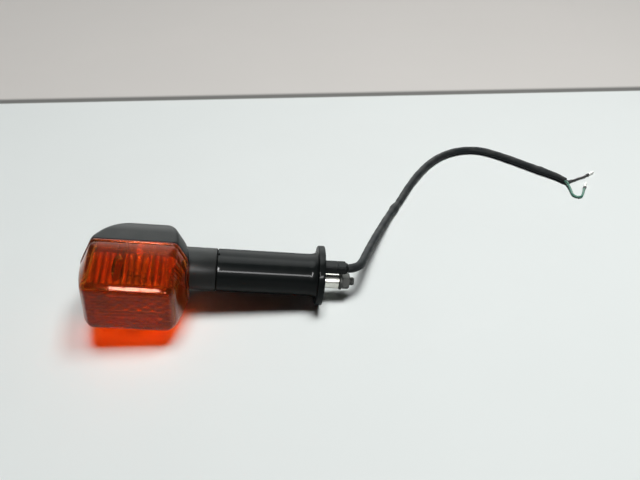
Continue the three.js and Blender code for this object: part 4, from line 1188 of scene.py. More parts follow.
@dataclass
class Lens:
    """The amber lens, in millimetres.

    Attributes:
        depth: From the parting plane to the front.
        gap: Between the lens and the housing's face.
        thickness: Its wall.
        bead_depth: Its rim bead.
        bead_stand: How far the bead stands out.
        skirt: Depth of the straight skirt.
        edge: Rounded edge round the front.
        edge_depth: Its depth.
        tongue_depth: How far it reaches into the housing.
        tongue_wall: The tongue's wall.
        tongue_clearance: Between the tongue and the housing.
        boss_diameter: The screws' bosses.
        boss_back: Y of their back ends.
        boss_length: Their length.
        hole: Diameter of the screws' holes.
        hole_depth: Their depth.
        screws: X and Z of the two screws.
        bulge: How far the sloping sides swell out.
        edge_painted_tone: Painted shade of the plain inner edges, from 0, the painted groove shade,
            to 1, the painted crest light.
        outer_painted_tone: The same painted tone for the outside.
    """

    bulge: float = 0.6
    edge_painted_tone: float = 0.0
    outer_painted_tone: float = 0.36
    depth: float = 31.0
    gap: float = 0.3
    thickness: float = 2.0
    bead_depth: float = 1.6
    bead_stand: float = 0.5
    skirt: float = 5.2
    edge: float = 3.4
    edge_depth: float = 4.5
    tongue_depth: float = 2.6
    tongue_wall: float = 1.6
    tongue_clearance: float = 0.3
    boss_diameter: float = 7.0
    boss_back: float = -7.7
    boss_length: float = 27.0
    hole: float = 4.4
    hole_depth: float = 10.5
    screws: tuple[tuple[float, float], ...] = ((-131.3, 22.7), (-103.5, -22.7))

    def _outer(self) -> list[np.ndarray]:
        """Rings of the outside, from the back to the front.

        Returns:
            The rings.
        """
        head = FINE_HEAD
        back = head.parting - self.gap
        plane = head.parting_outline()
        front = head.parting - self.depth
        bevel_end = front + self.edge_depth
        skirt = head.parting - self.skirt
        rings = [
            head.ring(back, plane, 0.3),
            head.ring(back - 0.12, plane, 0.1),
            head.ring(back - 0.35, plane),
            head.ring(back - self.bead_depth + 0.3, plane),
            head.ring(back - self.bead_depth, plane, 0.15),
            head.ring(back - self.bead_depth - self.bead_stand * 0.7, plane,
                      self.bead_stand + 0.35),
            head.ring(back - self.bead_depth - self.bead_stand - 0.5, plane, self.bead_stand + 0.1),
            head.ring(skirt, plane, self.bead_stand),
        ]
        for share in np.linspace(0, 1, 12)[1:]:
            y = blend(skirt, bevel_end, share)
            inset = self.bead_stand * (1 - share) - self.bulge * 4 * share * (1 - share)
            rings.append(head.ring(y, head.bevel_outline(share), inset))
        for share in np.linspace(0, 1, 11)[1:]:
            inset = (0.82 * share + 0.4 * draw_in(1, share)) * self.edge
            rings.append(head.ring(bevel_end - self.edge_depth * share, head.bevel_outline(1),
                                   inset))
        return rings

    def _inner(self) -> tuple[list[np.ndarray], list[str]]:
        """Rings of the inside, from the front to the back, and what each lies on.

        Returns:
            The rings and the names of what they lie on.
        """
        head = FINE_HEAD
        plane = head.parting_outline()
        front = head.parting - self.depth
        bevel_end = front + self.edge_depth
        skirt = head.parting - self.skirt
        inside = head.wall + self.tongue_clearance + self.tongue_wall
        rings, kinds = [], []
        face = head.ring(front + self.thickness, head.bevel_outline(1),
                         self.thickness + self.edge * 0.3)
        middle = face.mean(0)
        for share in np.linspace(0, 1, 31)[1:]:
            ring = middle + (face - middle) * share
            rings.append(ring)
            kinds.append("on_front" if share < 0.985 else "")
        for share in np.linspace(0, 1, 4)[1:]:
            y = blend(front + self.thickness, bevel_end, share)
            inset = blend(self.thickness + self.edge * 0.3, self.thickness, share)
            rings.append(head.ring(y, head.bevel_outline(1), inset))
            kinds.append("")
        steps = 44
        for share in np.linspace(0, 1, steps + 1)[1:]:
            y = blend(bevel_end, skirt, share)
            inset = blend(self.thickness, inside, share)
            rings.append(head.ring(y, head.bevel_outline(1 - share), inset))
            kinds.append("on_bevel" if 0.04 < share < 0.9 else "")
        return rings, kinds

    def build(self, finish: bpy.types.Material) -> bpy.types.Object:
        """Makes the lens.

        Args:
            finish: Its material.

        Returns:
            The piece.
        """
        head = FINE_HEAD
        plane = head.parting_outline()
        back = head.parting - self.gap
        tongue = head.wall + self.tongue_clearance
        inner, kinds = self._inner()
        outer = self._outer()
        tongue_end = back + self.tongue_depth
        rings = inner + [
            head.ring(back, plane, tongue + self.tongue_wall),
            head.ring(tongue_end, plane, tongue + self.tongue_wall),
            head.ring(tongue_end, plane, tongue),
            head.ring(back, plane, tongue),
        ] + outer
        face = rings[-1]
        middle = face.mean(0)
        for share in np.linspace(1, 0, 8)[1:-1]:
            rings.append(middle + (face - middle) * share)
        kinds += [""] * (len(rings) - len(kinds))
        shell = linked("lens_shell", loft(rings).mesh("lens_shell"))
        self._mask(shell.data, rings, kinds, len(inner))
        formed = PrismTree(finish).apply(shell, {"Flute Pitch": 3.9, "Flute Depth": 0.55,
                                                 "Cell Depth": 0.5})
        bpy.data.objects.remove(shell)
        body = loft(outer)
        steps = []
        for x, z in self.screws:
            post = plug(self.boss_diameter / 2, self.boss_back, self.boss_back - self.boss_length,
                        Axis.OPTIC, (x, z), 48)
            room = plug(self.boss_diameter, back, 0, Axis.OPTIC, (x, z), 48)
            inside = carve(body.mesh("room"), [(Cut.JOIN, room)])
            steps.append((Cut.JOIN, carve(post.mesh("post"), [(Cut.WITHIN, inside)])))
        for x, z in self.screws:
            way = plug(self.hole / 2, self.boss_back + 1, self.boss_back - self.hole_depth,
                       Axis.OPTIC, (x, z), 40)
            steps.append((Cut.AWAY, way))
        mesh = carve(formed, steps)
        piece = settle("amber_lens", mesh, finish, LAMP.matrix, 38)
        return place(piece, Body.LENS, "amber_lens", "lens")

    def _mask(self, mesh: bpy.types.Mesh, rings: list[np.ndarray], kinds: list[str],
              inner: int) -> None:
        """Marks which points carry flutes, ribs and cells, and each ring's painted tone.

        Args:
            mesh: The lens's mesh, ring after ring.
            rings: Its rings.
            kinds: What each ring lies on.
            inner: How many of the rings lie inside.
        """
        count = len(rings[0])
        total = len(mesh.vertices)
        layers = {name: np.zeros(total, np.float32) for name in ("on_bevel", "on_side", "on_front")}
        # Painted light and shade: each ring gets a tone, dark on the plain inner edges, bright
        # where prisms stand, mid on the outside.
        layers["tone"] = np.full(total, self.outer_painted_tone, np.float32)
        for at, (ring, kind) in enumerate(zip(rings, kinds)):
            span = slice(at * count, (at + 1) * count)
            layers["tone"][span] = 1.0 if kind else self.edge_painted_tone
            if at >= inner:
                layers["tone"][span] = self.outer_painted_tone
            if not kind:
                continue
            if kind == "on_front":
                layers["on_front"][span] = 1
                continue
            steep = np.abs(ring[:, 2]) / np.abs(ring[:, 2]).max()
            reach = np.abs(ring[:, 0] - HEAD.middle) / np.abs(ring[:, 0] - HEAD.middle).max()
            top = (steep > 0.985).astype(np.float32)
            side = ((reach > 0.9) & (top < 0.5)).astype(np.float32)
            layers["on_bevel"][span] = top
            layers["on_side"][span] = side
        for name, values in layers.items():
            mesh.attributes.new(name, "FLOAT", "POINT").data.foreach_set("value", values)


# ---------------------------------------------------------------- housing


@dataclass
class Housing:
    """The housing with its neck, and the lens's screws.

    Attributes:
        neck_radius: The neck's, as the stalk's.
        neck_start: X of the head's inboard side.
        neck_end: X of the seam.
        fillet: Where the neck meets the head.
        fillet_run: Its length along the neck.
        root: How far the neck's root reaches into the head's side.
        edge: Rounded edge at the seam.
        spigot_radius: The part inside the stalk.
        spigot_end: X of its end.
        ledge: Y of the ledge for the reflector.
        ledge_width: Its width.
        post_radius: The screws' posts.
        post_front: Y of the posts' fronts.
        boss_radius: The socket's boss.
        boss_front: Y of its front.
        seat: Y of the screws' seats.
        seat_radius: Their radius.
        screw_radius: The screws' shanks.
        head_radius: Their heads.
        head_height: Their heads' height.
        tip: Y of their tips.
        thread_pitch: Their thread's pitch.
        bolt_drop: The bolt's axis below the stalk's.
        bolt_way: Radius of the bolt's way.
        bolt_room: Radius of the room for the bolt's head.
        room_run: How far that room reaches into the neck.
        lead_rise: The lead's axis above the stalk's.
        lead_way: Radius of the lead's way.
    """

    neck_radius: float = 14.5
    neck_start: float = -90.0
    neck_end: float = -72.3
    fillet: float = 3.0
    fillet_run: float = 5.0
    root: float = 12.0
    edge: float = 0.8
    spigot_radius: float = 11.5
    spigot_end: float = -60.0
    ledge: float = -4.5
    ledge_width: float = 2.6
    post_radius: float = 3.8
    post_front: float = 2.3
    boss_radius: float = 10.7
    boss_front: float = 14.3
    seat: float = 10.0
    seat_radius: float = 4.1
    screw_radius: float = 2.0
    head_radius: float = 3.7
    head_height: float = 2.4
    tip: float = -17.2
    thread_pitch: float = 0.7
    bolt_drop: float = -4.0
    bolt_way: float = 3.25
    bolt_room: float = 6.37
    room_run: float = 2.2
    lead_rise: float = 8.0
    lead_way: float = 3.3

    def _neck(self) -> Blank:
        """The neck and its spigot.

        Returns:
            The blank.
        """
        radius = self.neck_radius
        fillet_start = self.neck_start - self.fillet_run - self.edge * 2
        profile = [(POLE, self.neck_start - self.root),
                   (radius + self.fillet, self.neck_start - self.root)]
        for turn in np.linspace(0, math.pi / 2, 12):
            profile.append((radius + self.fillet * (1 - math.sin(turn)),
                            fillet_start + self.fillet_run * (1 - math.cos(turn))))
        profile += [
            (radius, self.neck_end - self.edge),
            (radius - self.edge * 0.3, self.neck_end - self.edge * 0.3),
            (radius - self.edge, self.neck_end),
            (self.spigot_radius, self.neck_end),
            (self.spigot_radius, self.spigot_end),
            (POLE, self.spigot_end),
        ]
        return turned(profile, Axis.ALONG, segments=128)

    def build(self, finish: bpy.types.Material) -> bpy.types.Object:
        """Makes the housing.

        Args:
            finish: Its material.

        Returns:
            The piece.
        """
        head = HEAD
        plane = head.parting_outline()
        rings = [head.ring(head.parting, plane, 0.35), head.ring(head.parting + 0.12, plane, 0.1)]
        rings += head.housing_rings(head.parting + 0.35, head.back, 0.0, 40)
        shell = loft(rings)
        inset = head.wall + self.ledge_width
        floor = head.back - head.wall
        mouth = loft([head.ring(head.parting - 1, plane, head.wall),
                      head.ring(self.ledge, plane, head.wall)])
        cavity = loft([head.ring(self.ledge - 1, plane, inset)]
                      + head.housing_rings(self.ledge, floor, inset, 20))
        steps: list[tuple[Cut, Blank | bpy.types.Mesh]] = [
            (Cut.JOIN, self._neck()), (Cut.AWAY, mouth), (Cut.AWAY, cavity)]
        for x, z in LENS.screws:
            post = plug(self.post_radius, self.post_front, floor + 0.5, Axis.OPTIC, (x, z), 48)
            within = carve(post.mesh("post"), [(Cut.WITHIN, shell)])
            steps.append((Cut.JOIN, within))
        boss = plug(self.boss_radius, self.boss_front, floor + 1, Axis.OPTIC, (head.middle, 0), 64)
        steps.append((Cut.JOIN, boss))
        for x, z in LENS.screws:
            steps.append((Cut.AWAY, turned(
                [(POLE, self.seat), (self.seat_radius - 0.3, self.seat),
                 (self.seat_radius, self.seat + 0.3),
                 (self.seat_radius, head.back - 4), (self.seat_radius + 0.4, head.back + 1),
                 (POLE, head.back + 1)], Axis.OPTIC, (x, z), 56)))
            steps.append((Cut.AWAY, plug(self.screw_radius + 0.2, self.ledge, head.back,
                                         Axis.OPTIC, (x, z), 40)))
        end = self.spigot_end + 1
        for radius, first, last, rise in (
            (self.bolt_way, self.neck_start - 10, end, self.bolt_drop),
            (self.bolt_room, head.middle, self.neck_start + self.room_run, self.bolt_drop),
            (self.lead_way, head.middle, end, self.lead_rise),
        ):
            steps.append((Cut.AWAY, plug(radius, first, last, Axis.ALONG, (0, rise), 40)))
        steps.append((Cut.AWAY, block((head.middle - head.width / 2 + 0.4, head.parting - 60, -33),
                                      (head.middle + head.width / 2 + 0.4, head.parting, 33))))
        mesh = carve(shell.mesh("housing_shell"), steps)
        piece = settle("housing_shell", mesh, finish, LAMP.matrix, 30)
        return place(piece, Body.LAMP, "housing_black", "housing")

    def screws(self, finish: bpy.types.Material) -> None:
        """Makes the two screws that hold the lens, each with a cross recess.

        Args:
            finish: Their material.
        """
        front, back = self.seat + 0.3, self.seat + 0.3 + self.head_height
        names = ("upper", "lower")
        bodies = (Body.SCREW_UPPER, Body.SCREW_LOWER)
        for (x, z), name, body in zip(LENS.screws, names, bodies):
            radius, shank = self.head_radius, self.screw_radius
            profile = [(POLE, self.tip), (shank * 0.6, self.tip), (shank, self.tip + 1)]
            for turn in range(14):
                start = self.tip + 1.6 + turn * self.thread_pitch
                profile += [(shank * 0.8, start), (shank * 0.99, start + 0.3),
                            (shank * 0.8, start + 0.6)]
            profile += [(shank * 0.95, self.tip + 12), (shank * 0.95, front), (radius, front),
                        (radius, front + self.head_height * 0.35)]
            for share in np.linspace(0, 1, 7)[1:]:
                turn = share * math.pi / 2
                profile.append((radius * (0.55 + 0.45 * math.cos(turn)),
                                front + self.head_height * (0.35 + 0.65 * math.sin(turn))))
            profile.append((POLE, back))
            pin = turned(profile, Axis.OPTIC, (x, z), 48)
            cuts = []
            for wide, high in ((2.1, 0.45), (0.45, 2.1)):
                recess = block((x - wide, back - 1.3, z - high), (x + wide, back + 1, z + high),
                               0.4, (x, z))
                cuts.append((Cut.AWAY, recess))
            mesh = carve(pin.mesh("screw"), cuts)
            piece = settle(f"lens_screw_{name}_pan", mesh, finish, LAMP.matrix, 32)
            place(piece, body, "zinc_steel", f"lens_screw_{name}")


LENS = Lens()


# ---------------------------------------------------------------- wound wires


class WoundWire:
    """A Geometry Nodes tree that winds a wire round an axis: springs, filaments and threads."""

    def __init__(self) -> None:
        """Builds the tree."""
        self.wires = wires = Wiring.group("wound_wire", "GeometryNodeTree")
        wires.socket("Geometry", "Geometry")
        self.sockets = {name: wires.socket(name, kind, value) for name, kind, value in (
            ("Turns", "Float", 4.0), ("Radius", "Float", 1.0), ("Length", "Float", 5.0),
            ("Wire", "Float", 0.25), ("Steps", "Int", 24), ("Sides", "Int", 8),
            ("Finish", "Material", None))}
        wires.socket("Geometry", "Geometry", into=False)
        start = wires.add("NodeGroupInput").outputs
        spiral = wires.add("GeometryNodeCurveSpiral", {
            "Resolution": start["Steps"], "Rotations": start["Turns"],
            "Start Radius": start["Radius"], "End Radius": start["Radius"],
            "Height": start["Length"]})
        section = wires.add("GeometryNodeCurvePrimitiveCircle",
                            {"Resolution": start["Sides"], "Radius": start["Wire"]})
        skin = wires.add("GeometryNodeCurveToMesh", {
            "Fill Caps": True, "Curve": spiral.outputs[0], "Profile Curve": section.outputs[0]})
        real = wires.add("GeometryNodeRealizeInstances", {0: skin.outputs[0]})
        dress = wires.add("GeometryNodeSetMaterial",
                          {"Geometry": real.outputs[0], "Material": start["Finish"]})
        wires.add("NodeGroupOutput", {0: dress.outputs[0]})

    def wind(self, values: dict, to_lamp: Matrix) -> bpy.types.Mesh:
        """Winds one wire.

        Args:
            values: Values of the tree's inputs, by name.
            to_lamp: Takes the wire from its own axis to the lamp's frame.

        Returns:
            The mesh, in the lamp's frame.
        """
        carrier = linked("wound", bpy.data.meshes.new("wound"))
        modifier = carrier.modifiers.new("wound", "NODES")
        modifier.node_group = self.wires.tree
        for name, value in values.items():
            modifier[self.sockets[name]] = value
        made = evaluated(carrier)
        bpy.data.objects.remove(carrier)
        made.transform(to_lamp)
        return made


def axis_matrix(axis: Axis, start: Point) -> Matrix:
    """Takes a thing wound about Z to one of the lamp's axes, from a starting point.

    Args:
        axis: The axis.
        start: The starting point.

    Returns:
        The matrix.
    """
    turn = (Matrix.Rotation(math.pi / 2, 4, "Y") if axis is Axis.ALONG
            else Matrix.Rotation(-math.pi / 2, 4, "X"))
    return Matrix.Translation(Vector(start)) @ turn


def joined(meshes: list[bpy.types.Mesh]) -> bpy.types.Mesh:
    """Several meshes in one.

    Args:
        meshes: The meshes.

    Returns:
        The joined mesh.
    """
    points = [tuple(v.co) for mesh in meshes for v in mesh.vertices]
    faces, base = [], 0
    for mesh in meshes:
        faces += [tuple(base + v for v in face.vertices) for face in mesh.polygons]
        base += len(mesh.vertices)
    whole = bpy.data.meshes.new("joined")
    whole.from_pydata(points, [], faces)
    return whole


# ---------------------------------------------------------------- bulb, reflector and socket


@dataclass
class Optics:
    """The reflector, the bulb and the socket behind them, in millimetres.

    Attributes:
        wall: The reflector's wall.
        ledge: Y of the housing's ledge.
        ledge_width: The ledge's width.
        clear: Between the dish's rim and what it sits on.
        side_gap: Between the dish and the housing's ledge.
        back: Y of the dish's bottom.
        hole: Radius of the hole round the socket.
        cap_radius: The bulb's cap.
        cap_front: Y of its front.
        cap_back: Y of its back.
        pin_y: Y of its two pins.
        glass_radius: The glass.
        glass_front: Y of its front.
        glass_neck: Radius of its neck.
        glass_open: Y of its open end.
        glass_wall: The glass's thickness.
        filament_y: Y of the filament.
        filament: Turns, radius, length and wire of its coil.
        screw_way: Radius of the screws' ways through the dish.
        spring: Turns, radius and wire of the contact's spring.
        lamp_y: Y of the lamp's frame in the row's.
    """

    wall: float = 1.1
    ledge: float = -4.5
    ledge_width: float = 2.6
    clear: float = 0.3
    side_gap: float = 2.0
    back: float = 2.0
    hole: float = 9.4
    cap_radius: float = 7.5
    cap_front: float = -11.0
    cap_back: float = 2.0
    pin_y: float = -3.0
    glass_radius: float = 9.0
    glass_front: float = -30.0
    glass_neck: float = 6.3
    glass_open: float = -6.0
    glass_wall: float = 0.7
    filament_y: float = -20.0
    filament: tuple[float, float, float, float] = (11.0, 0.42, 4.2, 0.09)
    screw_way: float = 2.6
    spring: tuple[float, float, float] = (3.0, 2.7, 0.25)
    lamp_y: float = 10.5

    def _dish(self, offset: float, steps: int = 26) -> list[np.ndarray]:
        """Rings of the dish, from its rim to its hole.

        Args:
            offset: How far behind the bright face they lie.
            steps: The spaces between them.

        Returns:
            The rings.
        """
        head = HEAD
        ledge, rim_y = self.ledge, self.ledge - self.clear
        inset = head.wall + self.ledge_width + self.side_gap + offset
        rim = head.ring(rim_y, head.parting_outline(), inset)
        out = rim[:, [0, 2]] - [head.middle, 0]
        circle = out / np.linalg.norm(out, axis=1)[:, None] * self.hole
        rings = []
        for share in np.linspace(0, 1, steps + 1):
            y = rim_y - offset + (self.back - ledge) * math.sin(share * math.pi / 2)
            flat = out * (1 - share) + circle * share
            rings.append(np.column_stack([head.middle + flat[:, 0], np.full(len(flat), y),
                                          flat[:, 1]]))
        return rings

    def reflector(self, finish: bpy.types.Material) -> bpy.types.Object:
        """Makes the bright dish.

        Args:
            finish: Its material.

        Returns:
            The piece.
        """
        head, plane = HEAD, HEAD.parting_outline()
        back = self.ledge - self.clear
        edge = head.wall + self.clear
        rings = [head.ring(back, plane, edge)] + self._dish(0) + self._dish(self.wall)[::-1]
        rings.append(head.ring(back - self.wall, plane, edge))
        shell = loft(rings, looped=True)
        cuts = [(Cut.AWAY, plug(self.screw_way, -12, 10, Axis.OPTIC, screw, 40))
                for screw in LENS.screws]
        mesh = carve(shell.mesh("reflector"), cuts)
        piece = settle("reflector_dish", mesh, finish, LAMP.matrix, 34)
        return place(piece, Body.LAMP, "reflector_bright", "reflector")

    def bulb(self, finishes: Finishes) -> None:
        """Makes the bulb's glass, cap and filament.

        Args:
            finishes: The finishes.
        """
        middle = HEAD.middle
        ball, neck = self.glass_radius, self.glass_neck
        centre = self.glass_front + ball
        wrap = math.asin(neck / ball)

        def skin(shrink: float) -> list[tuple[float, float]]:
            """One side of the glass.

            Args:
                shrink: How far inside the outside it lies.

            Returns:
                Radius and place along the axis of its points.
            """
            arc = [((ball - shrink) * math.sin(a), centre - (ball - shrink) * math.cos(a))
                   for a in np.linspace(0.002, math.pi - wrap, 30)]
            return arc + [(neck - shrink, arc[-1][1] + 2), (neck - shrink, self.glass_open)]

        glass = turned(skin(0) + skin(self.glass_wall)[::-1], Axis.OPTIC, (middle, 0), 72)
        piece = settle("bulb_envelope", glass, finishes.bulb_glass.build(), LAMP.matrix, 40)
        place(piece, Body.BULB, "bulb_glass", "bulb_glass")
        radius = self.cap_radius
        inside = radius - 0.45
        cup = turned([(POLE, self.cap_back), (radius - 1.2, self.cap_back),
                      (radius, self.cap_back - 1.2),
                      (radius, self.cap_front + 1), (radius - 0.2, self.cap_front + 0.6),
                      (radius, self.cap_front), (inside, self.cap_front),
                      (inside, self.cap_back - 1.4), (POLE, self.cap_back - 1.4)],
                     Axis.OPTIC, (middle, 0), 72)
        pins = []
        angles = np.linspace(0, 2 * math.pi, 28, endpoint=False)
        for sign in (1, -1):
            rings = []
            for reach, size in ((radius - 0.3, 1.0), (radius + 1.0, 1.0), (radius + 1.3, 0.7)):
                rings.append(np.column_stack([middle + size * np.cos(angles),
                                              self.pin_y + size * np.sin(angles),
                                              np.full(28, sign * reach)]))
            pins.append((Cut.JOIN, loft(rings)))
        mesh = carve(cup.mesh("cap"), pins)
        piece = settle("bulb_cap_brass", mesh, finishes.brass.build(), LAMP.matrix, 34)
        place(piece, Body.BULB, "brass", "bulb_cap")
        wire = finishes.tungsten.build()
        turns, bend, length, thick = self.filament
        coil = WOUND.wind({"Turns": turns, "Radius": bend, "Length": length, "Wire": thick,
                           "Steps": 16, "Sides": 6, "Finish": wire},
                          axis_matrix(Axis.ALONG, (middle - length / 2, self.filament_y, 0)))
        posts = []
        for sign in (-1, 1):
            line = smooth_route([Vector(p) for p in (
                (middle + sign * 1.25, 0.4, 0), (middle + sign * 1.25, -11, 0),
                (middle + sign * 1.8, -16, 0), (middle + sign * 2.15, self.filament_y - 0.3,
                                                0.42))], 24)
            posts.append(loft(swept_rings(line, np.full(24, 0.28), 10)).mesh("post"))
        piece = settle("bulb_filament_coil", joined([coil, *posts]), wire, LAMP.matrix, 50)
        place(piece, Body.BULB, "tungsten", "bulb_filament")

    def socket(self, finishes: Finishes, zinc: bpy.types.Material) -> None:
        """Dresses the socket and makes its spring.

        Args:
            finishes: The finishes.
            zinc: The plated steel.
        """
        carry("socket_shell", zinc)
        carry("socket_insulator", finishes.block.build())
        carry("contact_plunger", finishes.brass.build())
        carry("bulb_contact", finishes.solder.build())
        carry("lens_gasket", finishes.seal.build())
        low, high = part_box("contact_spring")
        turns, bend, thick = self.spring
        length = (high.y - low.y) / MM - thick * 2
        start = (HEAD.middle, low.y / MM - self.lamp_y + thick, 0)
        spring = WOUND.wind({"Turns": turns, "Radius": bend, "Length": length, "Wire": thick,
                             "Steps": 40, "Sides": 10, "Finish": zinc},
                            axis_matrix(Axis.OPTIC, start))
        piece = settle("contact_spring_coil", spring, zinc, LAMP.matrix, 60)
        place(piece, Body.CONTACT, "zinc_steel", "contact_spring")


WOUND = WoundWire()


# ---------------------------------------------------------------- stalk and hardware


@dataclass
class Stalk:
    """The stalk with its flange, in millimetres.

    Attributes:
        radius: The stalk's.
        length: From the seam to the flange's face.
        edge: Rounded edges.
        flange: The flange's radius.
        flange_depth: Its thickness.
        flare: How long the stalk widens into it.
        rise: How far it widens.
        socket_radius: The spigot's socket.
        socket_end: X of its end.
        sleeve_way: Radius of the sleeve's way.
        lead_way: Radius of the lead's way.
        bolt_drop: The bolt's axis below the stalk's.
        lead_rise: The lead's axis above it.
        notch_width: The index notch in the seam.
        notch_depth: Its depth.
    """

    radius: float = 14.5
    length: float = 72.0
    edge: float = 0.8
    flange: float = 20.5
    flange_depth: float = 4.5
    flare: float = 6.3
    rise: float = 1.6
    socket_radius: float = 11.8
    socket_end: float = -59.7
    sleeve_way: float = 5.3
    lead_way: float = 3.3
    bolt_drop: float = -4.0
    lead_rise: float = 8.0
    notch_width: float = 3.0
    notch_depth: float = 1.6

    def build(self, finish: bpy.types.Material) -> bpy.types.Object:
        """Makes the stalk.

        Args:
            finish: Its material.

        Returns:
            The piece.
        """
        seam = -self.length
        start = -self.flange_depth - self.flare
        profile = [(POLE, seam)]
        for share in np.linspace(0, 1, 6):
            turn = share * math.pi / 2
            profile.append((self.radius - self.edge * (1 - math.sin(turn)),
                            seam + self.edge * (1 - math.cos(turn))))
        profile += [(self.radius, x) for x in np.linspace(seam + 4, start, 10)]
        for share in np.linspace(0, 1, 10)[1:]:
            profile.append((self.radius + self.rise * share ** 2.2, start + self.flare * share))
        profile += [(self.radius + self.rise + 0.5, -self.flange_depth - 0.15),
                    (self.radius + self.rise + 1.0, -self.flange_depth)]
        for share in np.linspace(0, 1, 7):
            turn = share * math.pi / 2
            profile.append((self.flange - self.edge * (1 - math.sin(turn)),
                            -self.flange_depth + self.edge * (1 - math.cos(turn))))
        for share in np.linspace(0, 1, 5):
            turn = share * math.pi / 2
            profile.append((self.flange - self.edge / 2 * (1 - math.cos(turn)),
                            -self.edge / 2 * (1 - math.sin(turn))))
        profile.append((POLE, 0))
        bar = turned(profile, Axis.ALONG, segments=160)
        cuts: list[tuple[Cut, Blank | bpy.types.Mesh]] = []
        for radius, first, last, rise in (
            (self.socket_radius, seam - 1, self.socket_end, 0.0),
            (self.sleeve_way, self.socket_end - 1, 1.0, self.bolt_drop),
            (self.lead_way, self.socket_end - 1, 1.0, self.lead_rise),
        ):
            cuts.append((Cut.AWAY, plug(radius, first, last, Axis.ALONG, (0, rise), 72)))
        notch = [(0.0, self.radius - self.notch_depth), (self.notch_width / 2, self.radius + 1),
                 (-self.notch_width / 2, self.radius + 1)]
        cuts.append((Cut.AWAY, prism(notch, seam - 1, seam + self.notch_depth)))
        mesh = carve(bar.mesh("stalk"), cuts)
        piece = settle("stalk_and_flange", mesh, finish, LAMP.matrix, 32)
        return place(piece, Body.LAMP, "stalk_rubber", "stalk")


@dataclass
class Hardware:
    """The through bolt and what it clamps, in millimetres.

    Attributes:
        drop: Z of the bolt's axis.
        bolt: The bolt's radius.
        bore: The rings' bore.
        bolt_head: X where the bolt's head bears.
        head_flats: The head, across its flats.
        head_height: Its height.
        bolt_end: X of the bolt's end.
        pitch: The thread's pitch.
        thread_run: How far the thread reaches past the nut's inner end.
        thread_depth: Its depth.
        thread_wire: Radius of the ridge that stands for it.
        collar: Start, end and radius of the collar.
        washer: Start, end and radius of the washer.
        nut: Start and end of the nut.
        nut_flats: Across its flats.
    """

    drop: float = -4.0
    bolt: float = 3.0
    bore: float = 3.25
    bolt_head: float = -88.1
    head_flats: float = 10.0
    head_height: float = 4.0
    bolt_end: float = 22.6
    pitch: float = 1.0
    thread_run: float = 6.0
    thread_depth: float = 0.28
    thread_wire: float = 0.29
    collar: tuple[float, float, float] = (0.3, 11.9, 5.7)
    washer: tuple[float, float, float] = (12.2, 13.8, 6.3)
    nut: tuple[float, float] = (14.1, 19.1)
    nut_flats: float = 10.0

    def _hexagon(self, flats: float) -> list[tuple[float, float]]:
        """A hexagon's corners about the bolt's axis.

        Args:
            flats: Its width across the flats.

        Returns:
            Y and Z of the corners.
        """
        corner = flats / math.sqrt(3)
        return [(corner * math.cos(k * math.pi / 3), self.drop + corner * math.sin(k * math.pi / 3))
                for k in range(6)]

    def _ring(self, start: float, end: float, radius: float, chamfer: float) -> Blank:
        """A ring on the bolt with chamfered edges.

        Args:
            start: X of its start.
            end: X of its end.
            radius: Its radius.
            chamfer: Its chamfers.

        Returns:
            The blank.
        """
        return turned(
            [(self.bore + 0.2, start), (radius - chamfer, start), (radius, start + chamfer),
             (radius, end - chamfer), (radius - chamfer, end), (self.bore + 0.2, end),
             (self.bore, end - 0.2), (self.bore, start + 0.2)],
            Axis.ALONG, (0, self.drop), 96, looped=True)

    def build(self, finishes: Finishes, zinc: bpy.types.Material) -> None:
        """Makes the bolt, collar, washer and nut, and dresses the sleeve.

        Args:
            finishes: The finishes.
            zinc: The plated steel.
        """
        dark = finishes.dark_steel.build()
        steel = finishes.collar.build()
        end = self.bolt_end
        thread_start = self.nut[0] - self.thread_run
        core = self.bolt - self.thread_depth
        shank = turned([(POLE, self.bolt_head - 2), (self.bolt, self.bolt_head - 2),
                        (self.bolt, thread_start - 0.5), (core, thread_start), (core, end - 0.9),
                        (core * 0.86, end - 0.1), (core * 0.8, end), (POLE, end)],
                       Axis.ALONG, (0, self.drop), 64)
        hexagon = prism(self._hexagon(self.head_flats), self.bolt_head - self.head_height,
                        self.bolt_head)
        body = carve(shank.mesh("shank"), [(Cut.JOIN, hexagon)])
        turns = (end - 0.9 - thread_start) / self.pitch
        thread = WOUND.wind({"Turns": turns, "Radius": core - 0.02, "Length": turns * self.pitch,
                             "Wire": self.thread_wire, "Steps": 40, "Sides": 8, "Finish": dark},
                            axis_matrix(Axis.ALONG, (thread_start, 0, self.drop)))
        piece = settle("through_bolt", joined([body, thread]), dark, LAMP.matrix, 40)
        place(piece, Body.LAMP, "dark_steel", "stay_bolt")
        ring = settle("bracket_collar", self._ring(*self.collar, 0.45), steel, LAMP.matrix, 30)
        place(ring, Body.LAMP, "collar_steel", "collar")
        ring = settle("clamp_washer", self._ring(*self.washer, 0.25), dark, LAMP.matrix, 30)
        place(ring, Body.LAMP, "dark_steel", "washer")
        corner = self.nut_flats / math.sqrt(3)
        start, last = self.nut
        dome = turned([(POLE, start), (corner * 0.9, start), (corner * 1.01, start + 0.6),
                       (corner * 1.01, last - 0.8), (corner * 0.87, last), (POLE, last)],
                      Axis.ALONG, (0, self.drop), 96)
        way = turned([(POLE, start - 1), (self.bore + 1, start - 1), (self.bore, start + 0.5),
                      (self.bore, last - 0.5), (self.bore + 1, last + 1), (POLE, last + 1)],
                     Axis.ALONG, (0, self.drop), 64)
        blank = prism(self._hexagon(self.nut_flats), start - 0.01, last + 0.01)
        mesh = carve(blank.mesh("nut"), [(Cut.WITHIN, dome), (Cut.AWAY, way)])
        piece = settle("clamp_nut", mesh, dark, LAMP.matrix, 24)
        place(piece, Body.NUT, "dark_steel", "nut")
        carry("stay_sleeve", zinc)


